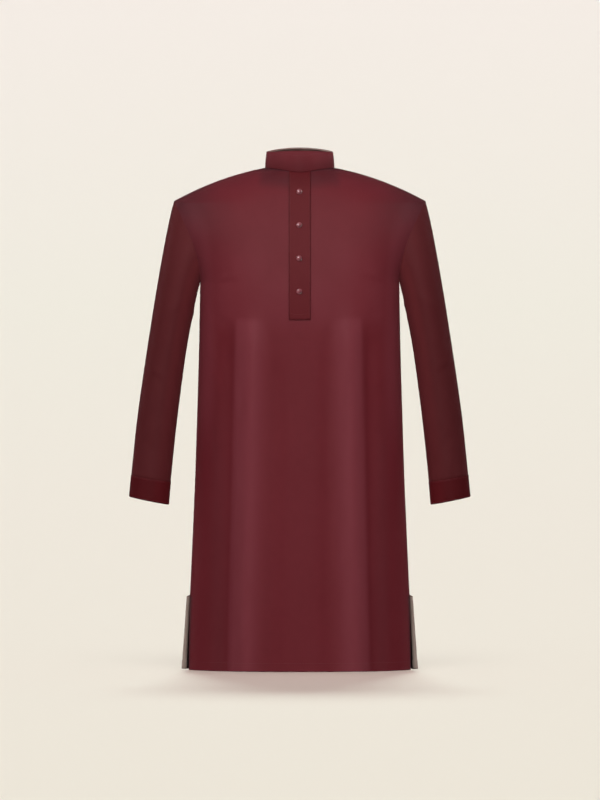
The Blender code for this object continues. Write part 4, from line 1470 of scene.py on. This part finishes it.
lights = {
    # where it shines from, strength, degrees or (area) metres across, what it lights, what it shines through
    "leftKey": ("SUN", (-2.5, -1.6, 1.60), 1.62, 30, "body", "sleeves"),
    "rightKey": ("SUN", (2.5, -1.6, 1.60), 1.56, 30, "body", "sleeves"),
    "leftSleeveKey": ("SUN", (-2.5, -1.6, 1.60), 1.50, 30, "sleeves", "body"),
    "rightSleeveKey": ("SUN", (2.5, -1.6, 1.60), 1.20, 30, "sleeves", "body"),
    "frontFill": ("SUN", (0.0, -2.0, 0.70), 1.15, 30, "cloth", "nothing"),
    "leftBack": ("SUN", (-1.8, 2.0, 0.90), 1.95, 30, "cloth", "nothing"),
    "rightBack": ("SUN", (1.8, 2.0, 0.90), 1.75, 30, "cloth", "nothing"),
    "chestLight": ("AREA", (-0.05, -1.15, 0.14), 3.5, 0.84, "cloth", "nothing"),
    "neckLight": ("AREA", (-0.03, -0.90, 0.55), 1.4, 0.80, "cloth", "nothing"),
    "glintLight": ("SUN", (-1.3, -2.0, 1.5), 0.12, 9, "cloth", "nothing"),
    "buttonKey": ("SUN", (-1.6, -1.5, 1.9), 1.60, 8, "opening", "nothing"),
    "buttonGlint": ("SUN", (-1.3, -2.0, 1.5), 2.70, 20, "buttons", "nothing"),
    "floorFront": ("SUN", (0.0, -1.4, 2.0), 0.96, 34, "floor", "front"),
    "floorBack": ("SUN", (0.0, 2.0, 1.68), 2.32, 17, "floor", "sleeves"),
    "floorFill": ("SUN", (0.0, 0.0, 2.0), 0.79, 30, "floor", "tunic"),
}
tints = {"floorBack": (0.81, 1.0, 0.985), "floorFill": (1.0, 0.65, 0.69)}  # the others are white
areaAimZ = -0.16
# the lights that show in the gloss of the cloth and the buttons
glossy = ("chestLight", "neckLight", "glintLight", "buttonKey", "buttonGlint")


def lightSets(floor):
    pieces = [piece for piece in bpy.data.objects if piece.type == "MESH" and piece is not floor]
    sleeves = [piece for piece in pieces if "Sleeve" in piece.name or "Cuff" in piece.name]
    buttons = [piece for piece in pieces if "button" in piece.name]
    opening = [piece for piece in pieces if piece.name == "clothPlacket"] + buttons
    front = [piece for piece in pieces if piece.name == "clothFront"] + opening
    return {
        "floor": [floor], "tunic": pieces, "sleeves": sleeves, "front": front + sleeves, "opening": opening,
        "cloth": [piece for piece in pieces if piece not in buttons], "buttons": buttons,
        "body": [piece for piece in pieces if piece not in sleeves + buttons],
    }


def linkSet(name, pieces, state):
    group = bpy.data.collections.new(name)
    for piece in pieces:
        group.objects.link(piece)
    for member in group.collection_objects:
        member.light_linking.link_state = state
    return group


def makeLights(floor):
    sets = lightSets(floor)
    for name, (kind, place, strength, size, lit, through) in lights.items():
        lamp = bpy.data.lights.new(name, kind)
        lamp.energy = strength
        lamp.color = tints.get(name, (1.0, 1.0, 1.0))
        aimZ = 0.0
        if kind == "SUN":
            lamp.angle = math.radians(size)
        else:
            lamp.shape = "DISK"
            lamp.size = size
            aimZ = areaAimZ
        holder = newObject(name, lamp)
        holder.location = place
        holder.visible_glossy = name in glossy
        x, y, z = place[0], place[1], place[2] - aimZ
        holder.rotation_euler = (math.pi / 2 - math.atan2(z, math.hypot(x, y)), 0, math.atan2(x, -y))
        holder.light_linking.receiver_collection = linkSet(name + "Lights", sets[lit], "INCLUDE")
        if through in sets:
            holder.light_linking.blocker_collection = linkSet(name + "Passes", sets[through], "EXCLUDE")


paperFloor = makeFloor()
makeRoom()
makeCamera()
makeLights(paperFloor)
bpy.context.scene.view_settings.view_transform = "Standard"
# every light is tried in turn: the light tree loses some of those that shine on chosen pieces
bpy.context.scene.cycles.use_light_tree = False
print("studio made")
